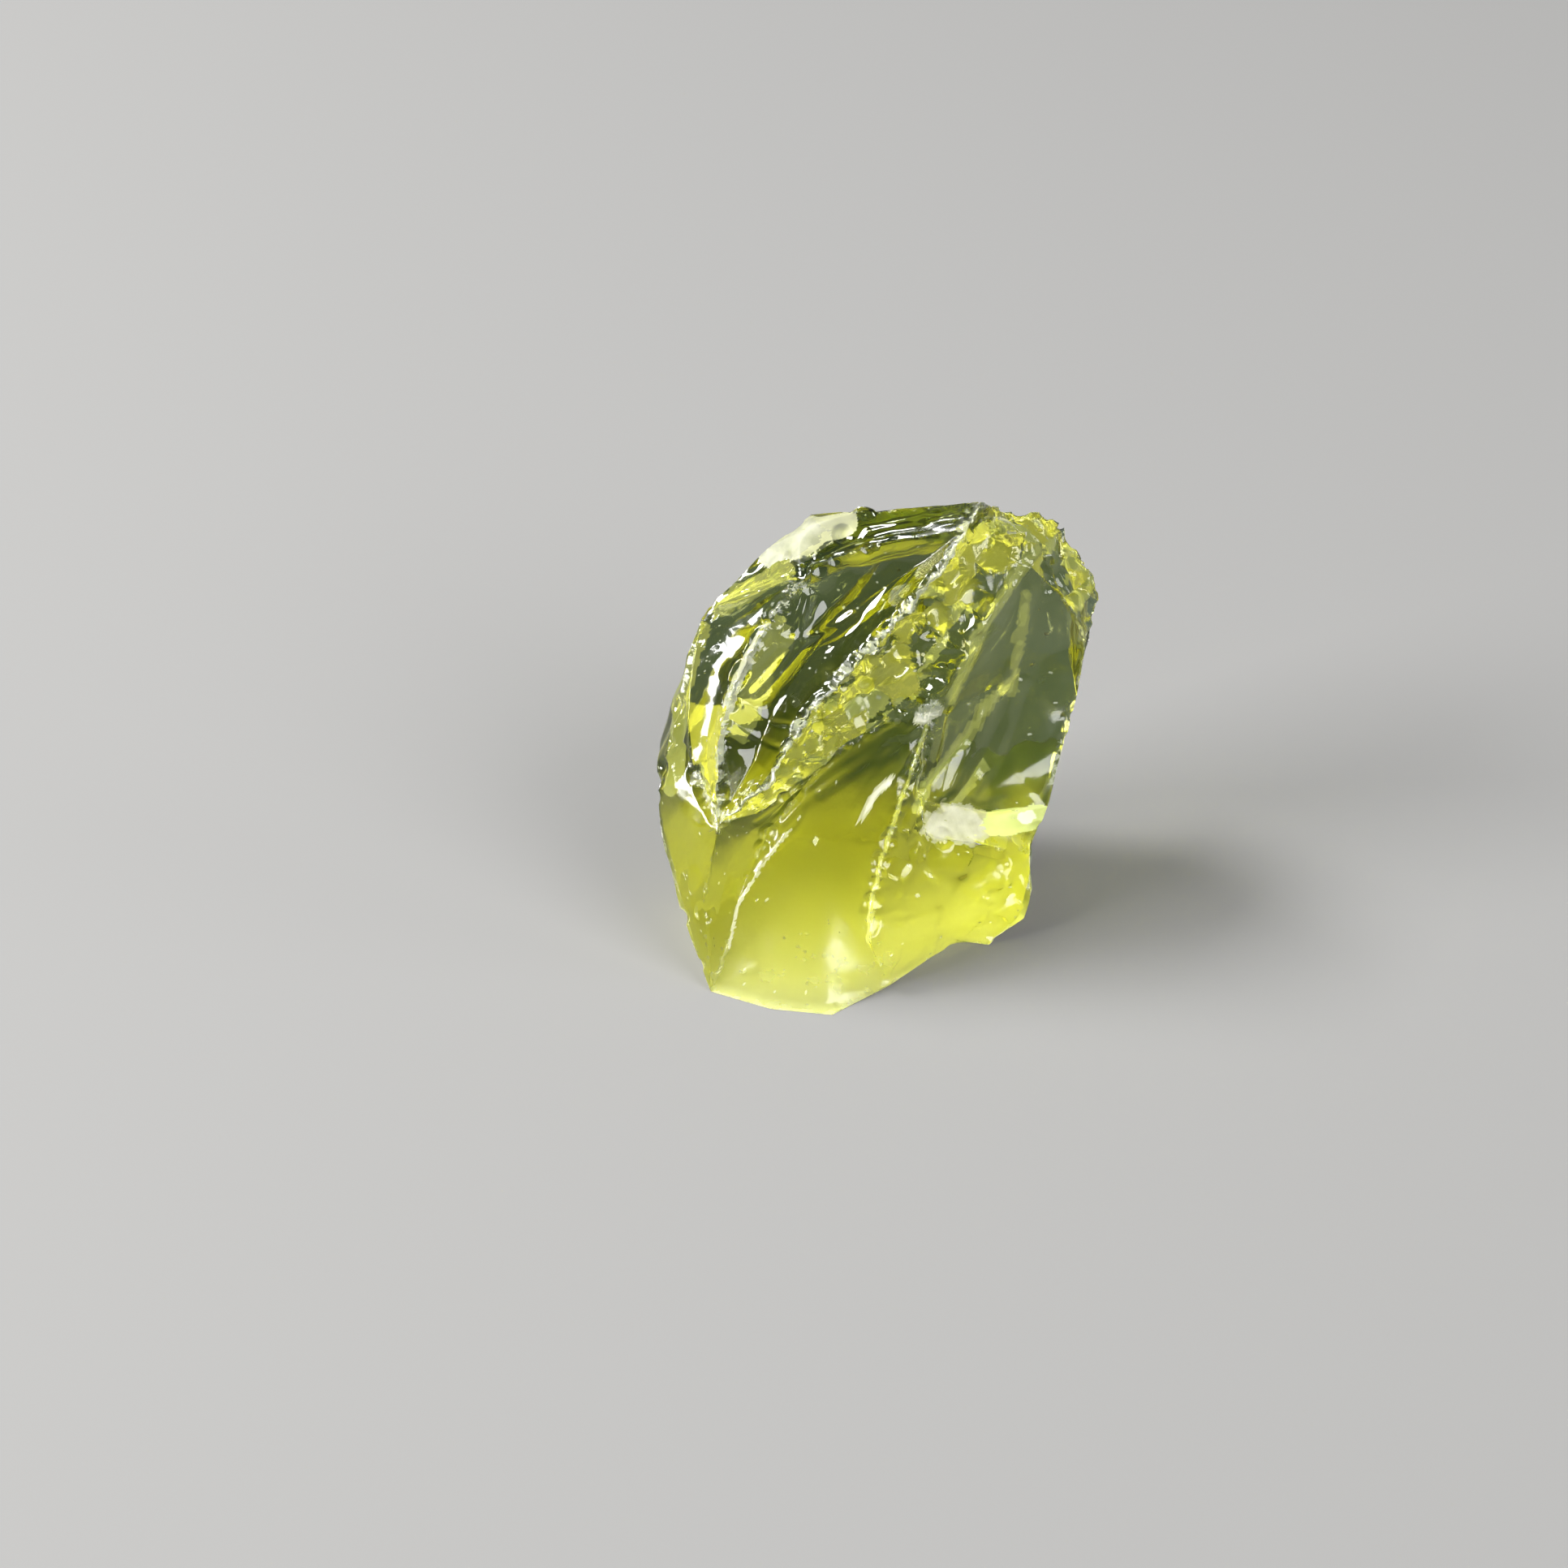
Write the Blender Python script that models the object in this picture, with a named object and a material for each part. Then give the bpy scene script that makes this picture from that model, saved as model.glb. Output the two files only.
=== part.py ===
"""A raw prasiolite: one broken piece of clear yellow-green quartz, resting on its flat base.

The piece is a closed net of corners. Each face of the net is part of a scar, which is one fracture
surface: its own corners are joined smoothly, and it meets the next scar in a sharp ridge. The scars
are hollowed or bellied like shell-shaped breaks, and the rough ones are broken into lumps and pits.
Lengths in the tables are millimetres, from the lowest front corner of the piece.
"""

import math

import bmesh
import bpy
import numpy as np
from mathutils import Vector, noise

MM = 0.001

# Driving dimensions
STONE_WIDTH = 30.3 * MM
NET_WIDTH = 30.3
METRES_PER_UNIT = STONE_WIDTH / NET_WIDTH

# The corners in sight are given as they look from the eye: across, up and height above the base
EYE = Vector((-3.2, -233.0, 182.1))
EYE_TILT = math.radians(35.0)
SIGHT_PLANE = 298.2
AXIS_ACROSS = -3.3
AXIS_UP = 15.8

SUBDIVISIONS = 3
RIDGE_CHIP = 0.14
LUMP_SIZE = 2.6
PIT_SIZE = 1.1
PIT_SHARE = 0.35

SEEN = {
    # the foot, from left to right
    "foot1": (-8.3, 1.6, 0.0),
    "foot2": (-4.2, 0.4, 0.0),
    "foot3": (0.0, 0.0, 0.0),
    "foot4": (3.9, 2.0, 0.0),
    "foot5": (8.5, 5.1, 0.0),
    "foot6": (10.6, 4.8, 0.0),
    # the right outline, upwards
    "right1": (13.1, 6.6, 1.5),
    "right2": (13.7, 8.6, 3.2),
    "right3": (13.6, 11.1, 5.0),
    "right4": (14.7, 14.2, 7.8),
    "right5": (15.6, 17.8, 10.8),
    "right6": (16.7, 21.7, 14.0),
    "right7": (17.5, 25.7, 17.3),
    "right8": (18.1, 27.9, 19.3),
    "right9": (17.9, 29.9, 21.0),
    "right10": (16.9, 31.1, 22.8),
    "right11": (15.9, 33.3, 25.0),
    # the top, from right to left
    "top1": (14.4, 34.4, 27.0),
    "top2": (11.9, 34.6, 28.2),
    "peak": (10.2, 35.2, 30.0),
    "top3": (5.3, 34.7, 29.0),
    "top4": (1.7, 34.4, 28.0),
    "top5": (-1.4, 34.2, 27.0),
    "top6": (-4.4, 31.9, 25.0),
    # the left outline, downwards
    "left1": (-8.7, 27.7, 22.5),
    "left2": (-9.9, 24.7, 19.5),
    "left3": (-11.2, 18.2, 13.5),
    "left4": (-12.2, 16.0, 11.5),
    "left5": (-11.5, 11.9, 8.3),
    "left6": (-10.4, 7.3, 4.8),
    # the long ridge, from the peak down to the toe
    "ridge1": (9.1, 33.3, 28.8),
    "ridge2": (7.5, 30.8, 27.0),
    "ridge3": (4.2, 26.9, 23.7),
    "ridge4": (0.8, 23.6, 20.8),
    "ridge5": (-2.2, 20.0, 17.6),
    "ridge6": (-4.0, 16.2, 14.4),
    "toe": (-7.8, 13.1, 11.4),
    # the rim of the shell-shaped scar, its left rib, and the outer edge of the corner
    "rim1": (4.2, 32.4, 27.3),
    "rim2": (0.8, 31.6, 26.4),
    "rim3": (-2.2, 30.1, 25.3),
    "rim4": (-5.6, 28.8, 24.0),
    "rib1": (-4.4, 26.6, 22.6),
    "rib2": (-6.7, 22.8, 19.5),
    "rib3": (-7.8, 18.6, 16.0),
    "edge1": (-9.4, 25.2, 20.3),
    "edge2": (-10.0, 21.1, 17.0),
    "edge3": (-9.7, 17.2, 13.6),
    # the lower edge of the crumbled band, from the knot to the toe
    "knot": (6.8, 20.7, 17.3),
    "band1": (3.7, 20.0, 16.4),
    "band2": (1.1, 18.6, 15.2),
    "band3": (-1.2, 16.6, 13.3),
    "band4": (-5.3, 13.7, 11.3),
    # the seam beside the window, upwards from the knot
    "seam1": (9.2, 24.4, 20.6),
    "seam2": (11.4, 28.3, 23.6),
    "seam3": (13.2, 31.0, 25.4),
    "notch": (13.2, 33.1, 27.2),
    "shoulder": (15.6, 28.9, 22.2),
    # the spine below the knot, and the lip of the window
    "spine1": (5.6, 17.2, 14.6),
    "spine2": (4.2, 13.1, 11.0),
    "spine3": (2.9, 8.9, 7.4),
    "spine4": (2.5, 5.0, 3.9),
    "lip1": (6.4, 18.1, 15.0),
    "lip2": (5.7, 14.7, 11.8),
    "lip3": (6.4, 12.3, 9.2),
    "ledge1": (10.0, 11.7, 7.6),
    "ledge2": (10.6, 13.9, 8.2),
    # the thin facet left of the front face
    "shin1": (-4.4, 12.5, 9.6),
    "shin2": (-6.4, 8.1, 5.6),
    "shin3": (-7.3, 4.4, 2.5),
    "shin4": (-8.8, 7.8, 5.8),
    # the frosted lobe on the top
    "lobe1": (0.6, 32.8, 26.9),
    "lobe2": (-2.2, 30.8, 25.6),
}

# The corners out of sight are given as places: right, back and up
HIDDEN = {
    "base1": (13.0, 10.6, 0.0),
    "base2": (13.2, 17.0, 0.0),
    "base3": (7.0, 21.5, 0.0),
    "base4": (-4.0, 20.0, 0.0),
    "base5": (-9.8, 12.0, 0.0),
    "back1": (-11.5, 17.0, 11.0),
    "back2": (-7.5, 21.0, 20.0),
    "back3": (0.5, 25.0, 11.0),
    "back4": (4.0, 26.0, 22.0),
    "back5": (16.6, 24.0, 12.0),
    "back6": (14.4, 27.2, 21.0),
}

# Each scar: how deep it is hollowed (or bellied, below zero), how rough it is, and its faces
SCARS = {
    "base": (
        0.0,
        0.0,
        "foot1 base5 base4 base3 base2 base1 foot6 foot5 foot4 foot3 foot2",
    ),
    "shell": (
        1.9,
        0.06,
        "ridge1 rim1 rim2 ridge3 ridge2",
        "rim2 rim3 rib1 ridge4 ridge3",
        "rib1 rib2 rib3 ridge5 ridge4",
        "rib3 toe ridge6 ridge5",
    ),
    "corner": (
        0.5,
        0.3,
        "rim3 rim4 left1 edge1 rib1",
        "rib1 edge1 edge2 rib2",
        "rib2 edge2 edge3 rib3",
        "rib3 edge3 toe",
    ),
    "left_strip": (0.2, 0.05, "left1 left2 left3 edge3 edge2 edge1"),
    "left_side": (
        -0.4,
        0.1,
        "left3 left4 left5 shin4 toe edge3",
        "left5 left6 foot1 shin4",
    ),
    "shin": (
        0.3,
        0.05,
        "toe shin4 shin2 shin1 band4",
        "shin4 foot1 shin3 shin2",
        "band4 shin1 band3",
    ),
    "front": (
        -0.7,
        0.08,
        "band3 shin1 shin2 shin3 foot1 foot2 foot3 foot4"
        " spine4 spine3 spine2 spine1 knot band1 band2",
    ),
    "band": (
        0.7,
        0.75,
        "peak ridge1 ridge2 ridge3 seam1 seam2 seam3 notch top2",
        "ridge3 ridge4 ridge5 band2 band1 knot seam1",
        "ridge5 ridge6 toe band4 band3 band2",
    ),
    "right_foot": (
        -0.3,
        0.12,
        "knot spine1 spine2 lip3 lip2 lip1",
        "spine2 spine3 spine4 foot4 foot5 foot6 right1 right2 right3 ledge1 lip3",
    ),
    "ledge": (0.3, 0.1, "lip2 lip3 ledge1 right3 right4 ledge2"),
    "window": (
        1.3,
        0.06,
        "knot lip1 lip2 ledge2 right4 right5 right6",
        "knot right6 right7 shoulder seam3 seam2 seam1",
    ),
    "top_right": (
        0.3,
        0.35,
        "top2 notch seam3 shoulder right7 right8 right9 right10 right11 top1",
    ),
    "lobe": (-0.3, 0.12, "top6 lobe2 lobe1 top4 top5"),
    "rim_low": (0.2, 0.08, "left1 rim4 rim3 lobe2 top6"),
    "rim_high": (
        0.5,
        0.12,
        "rim3 rim2 rim1 ridge1 peak top3 top4 lobe1 lobe2",
    ),
    "back_left_low": (0.4, 0.15, "foot1 left6 left5 left4 back1 base5"),
    "back_left": (-0.4, 0.2, "left4 left3 left2 left1 back2 back1"),
    "back_left_top": (0.4, 0.15, "left1 top6 top5 back2"),
    "back_low": (-0.4, 0.2, "base5 back1 back3 base4"),
    "back_middle": (1.0, 0.15, "back1 back2 back4 back3"),
    "back_top": (
        0.8,
        0.2,
        "back2 top5 top4 top3 peak back4",
        "peak top2 top1 back6 back4",
    ),
    "back_right_low": (0.5, 0.2, "base4 back3 back5 base2 base3"),
    "back_right": (-0.6, 0.2, "back3 back4 back6 back5"),
    "right_high": (
        0.6,
        0.25,
        "top1 right11 right10 right9 right8 right7 right6 back5 back6",
    ),
    "right_low": (
        0.3,
        0.2,
        "right6 right5 right4 right3 right2 right1 base1 base2 back5",
        "right1 foot6 base1",
    ),
}


def place_seen(across, up, height):
    """The point at this height on the line of sight that passes across and up in the sight plane."""
    forward = Vector((0.0, math.cos(EYE_TILT), -math.sin(EYE_TILT)))
    upward = Vector((0.0, math.sin(EYE_TILT), math.cos(EYE_TILT)))
    aside = Vector((1.0, 0.0, 0.0))
    sight = forward * SIGHT_PLANE + aside * (across - AXIS_ACROSS) + upward * (up - AXIS_UP)
    return EYE + sight * ((height - EYE.z) / sight.z)


def make_net():
    """The closed net of corners, with each face's scar as a number and each ridge creased."""
    places = {name: place_seen(*sighting) for name, sighting in SEEN.items()}
    places.update({name: Vector(place) for name, place in HIDDEN.items()})
    net = bmesh.new()
    scar_layer = net.faces.layers.int.new("scar")
    edge_crease = net.edges.layers.float.new("crease_edge")
    corner_crease = net.verts.layers.float.new("crease_vert")
    corners = {name: net.verts.new(place) for name, place in places.items()}
    for number, (_hollow, _rough, *faces) in enumerate(SCARS.values()):
        for loop in faces:
            face = net.faces.new([corners[name] for name in loop.split()])
            face[scar_layer] = number
    for edge in net.edges:
        if len({face[scar_layer] for face in edge.link_faces}) > 1:
            edge[edge_crease] = 1.0
            for corner in edge.verts:
                corner[corner_crease] = 1.0
    return net


def subdivided(net):
    """The net after Subdivision Surface, which joins the faces of one scar smoothly."""
    mesh = bpy.data.meshes.new("net")
    net.to_mesh(mesh)
    net.free()
    guide = bpy.data.objects.new("net_guide", mesh)
    guide.hide_render = True
    guide.display_type = "WIRE"
    bpy.context.scene.collection.objects.link(guide)
    smoother = guide.modifiers.new("smooth_scars", "SUBSURF")
    smoother.levels = SUBDIVISIONS
    smoother.render_levels = SUBDIVISIONS
    bpy.context.view_layer.update()
    evaluated = guide.evaluated_get(bpy.context.evaluated_depsgraph_get())
    fine = bpy.data.meshes.new_from_object(evaluated)
    bpy.data.objects.remove(guide)
    bpy.data.meshes.remove(mesh)
    return fine


def shape_scars(mesh):
    """Hollow each scar away from its rim, and break the rough ones into lumps and pits.

    The hollow is a quarter sine of the distance from the rim, so that it meets the ridge at an angle.
    """
    body = bmesh.new()
    body.from_mesh(mesh)
    scar_layer = body.faces.layers.int["scar"]
    body.normal_update()
    settings = list(SCARS.values())
    scars_at = {vert: {face[scar_layer] for face in vert.link_faces} for vert in body.verts}
    rim = {vert for vert, scars in scars_at.items() if len(scars) > 1}
    moves = {vert: Vector() for vert in body.verts}
    for number, (hollow, _rough, *_faces) in enumerate(settings):
        inside = [vert for vert, scars in scars_at.items() if scars == {number}]
        border = [vert for vert in rim if number in scars_at[vert]]
        inside_at = np.array([vert.co for vert in inside])
        border_at = np.array([vert.co for vert in border])
        gaps = np.linalg.norm(inside_at[:, None] - border_at[None], axis=2).min(axis=1)
        depth = hollow * np.sin(0.5 * math.pi * gaps / gaps.max())
        faces = [face for face in body.faces if face[scar_layer] == number]
        facing = sum((face.normal * face.calc_area() for face in faces), Vector()).normalized()
        for vert, sink in zip(inside, depth):
            moves[vert] = -facing * float(sink)
    for vert in body.verts:
        rough = np.mean([settings[number][1] for number in scars_at[vert]])
        lumps = noise.noise(vert.co / LUMP_SIZE) + PIT_SHARE * noise.noise(vert.co / PIT_SIZE)
        moves[vert] += vert.normal * float(rough) * lumps
        if vert in rim:
            moves[vert] += noise.noise_vector(vert.co / PIT_SIZE) * RIDGE_CHIP
    base = list(SCARS).index("base")
    for vert, move in moves.items():
        if base in scars_at[vert]:
            continue
        vert.co += move
    body.to_mesh(mesh)
    body.free()


def centre_on_base(mesh):
    """Put the origin at the middle of the box's underside, and turn millimetres into metres."""
    body = bmesh.new()
    body.from_mesh(mesh)
    places = np.array([vert.co for vert in body.verts])
    middle = 0.5 * (places.min(axis=0) + places.max(axis=0))
    bmesh.ops.translate(body, verts=body.verts, vec=(-middle[0], -middle[1], 0.0))
    bmesh.ops.scale(body, verts=body.verts, vec=(METRES_PER_UNIT,) * 3)
    bmesh.ops.triangulate(body, faces=body.faces)
    bmesh.ops.recalc_face_normals(body, faces=body.faces)
    body.to_mesh(mesh)
    body.free()


def quartz_material():
    material = bpy.data.materials.new("prasiolite_quartz")
    material.use_nodes = True
    shader = material.node_tree.nodes["Principled BSDF"]
    shader.inputs["Base Color"].default_value = (0.70, 0.74, 0.16, 1.0)
    shader.inputs["Roughness"].default_value = 0.12
    shader.inputs["Metallic"].default_value = 0.0
    shader.inputs["IOR"].default_value = 1.544
    shader.inputs["Transmission Weight"].default_value = 1.0
    return material


def main():
    for thing in list(bpy.data.objects):
        bpy.data.objects.remove(thing)
    mesh = subdivided(make_net())
    shape_scars(mesh)
    centre_on_base(mesh)
    mesh.name = "prasiolite"
    mesh.materials.append(quartz_material())
    stone = bpy.data.objects.new("prasiolite", mesh)
    bpy.context.scene.collection.objects.link(stone)
    print("prasiolite:", len(mesh.vertices), "corners,", len(mesh.polygons), "triangles")


main()
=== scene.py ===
# %% [markdown]
# # A raw prasiolite
# This lesson finishes one rough piece of clear yellow-green quartz. The real thing grew and broke
# as one piece, so there is one solid and one mesh here. Its look comes from two things: shell-shaped
# fracture scars that meet in jagged, bruised ridges, and light that passes through the coloured
# stone. We load the solid first, because the finished surface has to stay in its box.

# %% Load the solid
import itertools
import math

import bpy
import numpy as np
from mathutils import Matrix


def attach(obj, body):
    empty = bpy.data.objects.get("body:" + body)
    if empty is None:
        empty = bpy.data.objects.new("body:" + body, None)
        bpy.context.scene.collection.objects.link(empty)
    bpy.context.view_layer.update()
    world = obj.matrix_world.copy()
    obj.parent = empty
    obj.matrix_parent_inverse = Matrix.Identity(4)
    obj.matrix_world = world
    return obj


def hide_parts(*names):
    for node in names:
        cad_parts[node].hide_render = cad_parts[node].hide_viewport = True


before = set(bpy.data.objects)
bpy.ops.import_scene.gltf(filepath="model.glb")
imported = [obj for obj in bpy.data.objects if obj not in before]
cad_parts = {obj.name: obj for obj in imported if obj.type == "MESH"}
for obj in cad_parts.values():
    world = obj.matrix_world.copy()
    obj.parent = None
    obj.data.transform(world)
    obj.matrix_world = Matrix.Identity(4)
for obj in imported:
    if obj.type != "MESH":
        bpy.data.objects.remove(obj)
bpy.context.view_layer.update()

# %% [markdown]
# ## The view
# The piece is seen from in front and well above, through a long lens, so that near and far edges
# keep almost the same scale. Two angles and two lengths describe such a view: how far the line of
# sight tilts down, and how far away the eye is. The same eye is used below to place the corners,
# so it is written in the piece's own millimetres, from its lowest front corner.

# %% The eye and the lens
MM = 0.001
EYE = np.array([-3.2, -233.0, 182.1])
EYE_TILT = math.radians(35.0)
SIGHT_PLANE = 298.2
AXIS_ACROSS = -3.3
AXIS_UP = 15.8
LENS = 100.0
SENSOR = 36.0
ASIDE = np.array([1.0, 0.0, 0.0])
AHEAD = np.array([0.0, math.cos(EYE_TILT), -math.sin(EYE_TILT)])
UPWARD = np.array([0.0, math.sin(EYE_TILT), math.cos(EYE_TILT)])
print("eye tilts down by", round(math.degrees(EYE_TILT)), "degrees and stands", SIGHT_PLANE, "mm away")

# %% [markdown]
# ## The net of corners
# A broken crystal is a closed net: sharp corners joined by ridges, with a fracture scar in each
# mesh of the net. The corners could be modelled by hand in the viewport, but named corners in a
# table are easier to read and to move. Corners in sight are written as they look from the eye:
# how far across, how far up, and at what height above the base they lie. The line of sight does
# the rest. The few corners behind are plain places. Corners that follow each other form a chain
# and are numbered from 1, so the first two at the foot are foot1 and foot2.

# %% Corners on the outline: across, up and height, in mm
SEEN = {
    # the foot, from left to right
    "foot": (
        (-8.3, 1.6, 0.0), (-4.2, 0.4, 0.0), (0.0, 0.0, 0.0), (3.9, 2.0, 0.0), (8.5, 5.1, 0.0),
        (10.6, 4.8, 0.0),
    ),
    # the right outline, upwards
    "right": (
        (13.1, 6.6, 1.5), (13.7, 8.6, 3.2), (13.6, 11.1, 5.0), (14.7, 14.2, 7.8), (15.6, 17.8, 10.8),
        (16.7, 21.7, 14.0), (17.5, 25.7, 17.3), (18.1, 27.9, 19.3), (17.9, 29.9, 21.0),
        (16.9, 31.1, 22.8), (15.9, 33.3, 25.0),
    ),
    # the top, from right to left, with the peak between its second and third corner
    "top": (
        (14.4, 34.4, 27.0), (11.9, 34.6, 28.2), (5.3, 34.7, 29.0), (1.7, 34.4, 28.0),
        (-1.4, 34.2, 27.0), (-4.4, 31.9, 25.0),
    ),
    # the left outline, downwards
    "left": (
        (-8.7, 27.7, 22.5), (-9.9, 24.7, 19.5), (-11.2, 18.2, 13.5), (-12.2, 16.0, 11.5),
        (-11.5, 11.9, 8.3), (-10.4, 7.3, 4.8),
    ),
}
print("chains on the outline:", {name: len(chain) for name, chain in SEEN.items()})

# %% Corners inside the outline: across, up and height, in mm
SEEN.update({
    # the long ridge, from below the peak to above the toe
    "ridge": (
        (9.1, 33.3, 28.8), (7.5, 30.8, 27.0), (4.2, 26.9, 23.7), (0.8, 23.6, 20.8), (-2.2, 20.0, 17.6),
        (-4.0, 16.2, 14.4),
    ),
    # the rim of the shell-shaped scar, its left rib, and the outer edge of the corner
    "rim": ((4.2, 32.4, 27.3), (0.8, 31.6, 26.4), (-2.2, 30.1, 25.3), (-5.6, 28.8, 24.0)),
    "rib": ((-4.4, 26.6, 22.6), (-6.7, 22.8, 19.5), (-7.8, 18.6, 16.0)),
    "edge": ((-9.4, 25.2, 20.3), (-10.0, 21.1, 17.0), (-9.7, 17.2, 13.6)),
    # the lower edge of the crumbled band, from the knot to the toe
    "band": ((3.7, 20.0, 16.4), (1.1, 18.6, 15.2), (-1.2, 16.6, 13.3), (-5.3, 13.7, 11.3)),
    # the seam beside the window, upwards from the knot
    "seam": ((9.2, 24.4, 20.6), (11.4, 28.3, 23.6), (13.2, 31.0, 25.4)),
    # the spine below the knot, and the lip and the ledge of the window
    "spine": ((5.6, 17.2, 14.6), (4.2, 13.1, 11.0), (2.9, 8.9, 7.4), (2.5, 5.0, 3.9)),
    "lip": ((6.4, 18.1, 15.0), (5.7, 14.7, 11.8), (6.4, 12.3, 9.2)),
    "ledge": ((10.0, 11.7, 7.6), (10.6, 13.9, 8.2)),
    # the thin facet left of the front face
    "shin": ((-4.4, 12.5, 9.6), (-6.4, 8.1, 5.6), (-7.3, 4.4, 2.5), (-8.8, 7.8, 5.8)),
    # the frosted lobe on the top
    "lobe": ((0.6, 32.8, 26.9), (-2.2, 30.8, 25.6)),
    # corners that stand alone
    "peak": ((10.2, 35.2, 30.0),),
    "toe": ((-7.8, 13.1, 11.4),),
    "knot": ((6.8, 20.7, 17.3),),
    "notch": ((13.2, 33.1, 27.2),),
    "shoulder": ((15.6, 28.9, 22.2),),
})
print("chains in sight:", len(SEEN))

# %% Corners behind: right, back and up, in mm
HIDDEN = {
    "base": (
        (13.0, 10.6, 0.0), (13.2, 17.0, 0.0), (7.0, 21.5, 0.0), (-4.0, 20.0, 0.0), (-9.8, 12.0, 0.0),
    ),
    "back": (
        (-11.5, 17.0, 11.0), (-7.5, 21.0, 20.0), (0.5, 25.0, 11.0), (4.0, 26.0, 22.0),
        (16.6, 24.0, 12.0), (14.4, 27.2, 21.0),
    ),
}
print("chains behind:", {name: len(chain) for name, chain in HIDDEN.items()})


# %% Put every corner in its place
def place_seen(across, up, height):
    """The point at this height on the line of sight that passes across and up in the sight plane."""
    sight = AHEAD * SIGHT_PLANE + ASIDE * (across - AXIS_ACROSS) + UPWARD * (up - AXIS_UP)
    return EYE + sight * ((height - EYE[2]) / sight[2])


def sight_of(places):
    """How far across and up each place looks in the sight plane: the way back from place_seen."""
    line = places - EYE
    grow = SIGHT_PLANE / (line @ AHEAD)
    return np.stack([AXIS_ACROSS + grow * (line @ ASIDE), AXIS_UP + grow * (line @ UPWARD)], axis=1)


def by_name(chains):
    """Each corner under its chain's name and its number there, or the plain name if it stands alone."""
    named = {}
    for name, chain in chains.items():
        for number, corner in enumerate(chain, 1):
            named[name + (str(number) if len(chain) > 1 else "")] = corner
    return named


corners = {name: place_seen(*sighting) for name, sighting in by_name(SEEN).items()}
corners.update({name: np.array(place) for name, place in by_name(HIDDEN).items()})
print("corners:", len(corners))

# %% [markdown]
# ## The scars
# Each scar is one fracture surface. It is made of a few meshes of the net that are joined smoothly,
# and it has its own habit: how deep it is hollowed, how lumpy, pitted and shattered it is, how
# frosted it looks, how strong its ripples and its fanned streaks (hackle) are, and the corner that
# the break ran out from. Two habits are common, one for the small scars in front and one for the
# broad ones behind, so each scar below names only what is its own. Lengths are in mm.

# %% The common habits
FRONT_HABIT = dict(
    hollow=0.3, lumps=0.05, pits=0, shards=0, grain=4, frost=0.25, ripple=0.01, wave=2, hackle=0.03,
)
BROAD_HABIT = dict(FRONT_HABIT, lumps=0.15, frost=0.1, ripple=0.06, wave=4.5, hackle=0.2)


def scar(*rings, start, like=FRONT_HABIT, **own):
    """One scar: the rings of corners round its faces, the corner it started from, and its habit."""
    return dict(like, rings=rings, start=start, **own)


print("common habits:", FRONT_HABIT, BROAD_HABIT)

# %% The scars of the rest face and the left
SCARS = {
    "base": scar(
        "foot1 base5 base4 base3 base2 base1 foot6 foot5 foot4 foot3 foot2",
        start="foot3", hollow=0, lumps=0, frost=1.0, ripple=0, hackle=0,
    ),
    "shell": scar(
        "ridge1 rim1 rim2 ridge3 ridge2",
        "rim2 rim3 rib1 ridge4 ridge3",
        "rib1 rib2 rib3 ridge5 ridge4",
        "rib3 toe ridge6 ridge5",
        start="toe", hollow=1.9, frost=0.02, ripple=0.02, wave=2.6, hackle=0.06,
    ),
    "corner": scar(
        "rim3 rim4 left1 edge1 rib1",
        "rib1 edge1 edge2 rib2",
        "rib2 edge2 edge3 rib3",
        "rib3 edge3 toe",
        start="left1", lumps=0.1, pits=0.02, shards=0.2, grain=6, wave=1.5,
    ),
    "left_strip": scar(
        "left1 left2 left3 edge3 edge2 edge1",
        start="left1", hollow=0.2, frost=0.08,
    ),
    "left_side": scar(
        "left3 left4 left5 shin4 toe edge3",
        "left5 left6 foot1 shin4",
        start="left4", hollow=-0.4, lumps=0.08, frost=0.3, hackle=0.02,
    ),
    "shin": scar(
        "toe shin4 shin2 shin1 band4",
        "shin4 foot1 shin3 shin2",
        "band4 shin1 band3",
        start="toe",
    ),
}
print("scars at the left:", len(SCARS))

# %% The scars of the front and the right
SCARS.update({
    "front": scar(
        "band3 shin1 shin2 shin3 foot1 foot2 foot3 foot4"
        " spine4 spine3 spine2 spine1 knot band1 band2",
        start="toe", hollow=-0.35, lumps=0.06, frost=0.35, ripple=0.012, wave=3, hackle=0.05,
    ),
    "band": scar(
        "peak ridge1 ridge2 ridge3 seam1 seam2 seam3 notch top2",
        "ridge3 ridge4 ridge5 band2 band1 knot seam1",
        "ridge5 ridge6 toe band4 band3 band2",
        start="peak", hollow=0.7, lumps=0.35, pits=0.14, shards=1.6, grain=1.1,
        frost=0.04, ripple=0, hackle=0.05,
    ),
    "right_foot": scar(
        "knot spine1 spine2 lip3 lip2 lip1",
        "spine2 spine3 spine4 foot4 foot5 foot6 right1 right2 right3 ledge1 lip3",
        start="knot", hollow=-0.3, lumps=0.15, pits=0.04, shards=0.5, ripple=0.015, hackle=0.05,
    ),
    "ledge": scar(
        "lip2 lip3 ledge1 right3 right4 ledge2",
        start="lip2", lumps=0.1, pits=0.02, frost=0.6, ripple=0, hackle=0,
    ),
    "window": scar(
        "knot lip1 lip2 ledge2 right4 right5 right6",
        "knot right6 right7 shoulder seam3 seam2 seam1",
        start="lip3", hollow=1.3, frost=0.2, ripple=0.03, wave=3.2, hackle=0.1,
    ),
})
print("scars at the left and in front:", len(SCARS))

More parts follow.
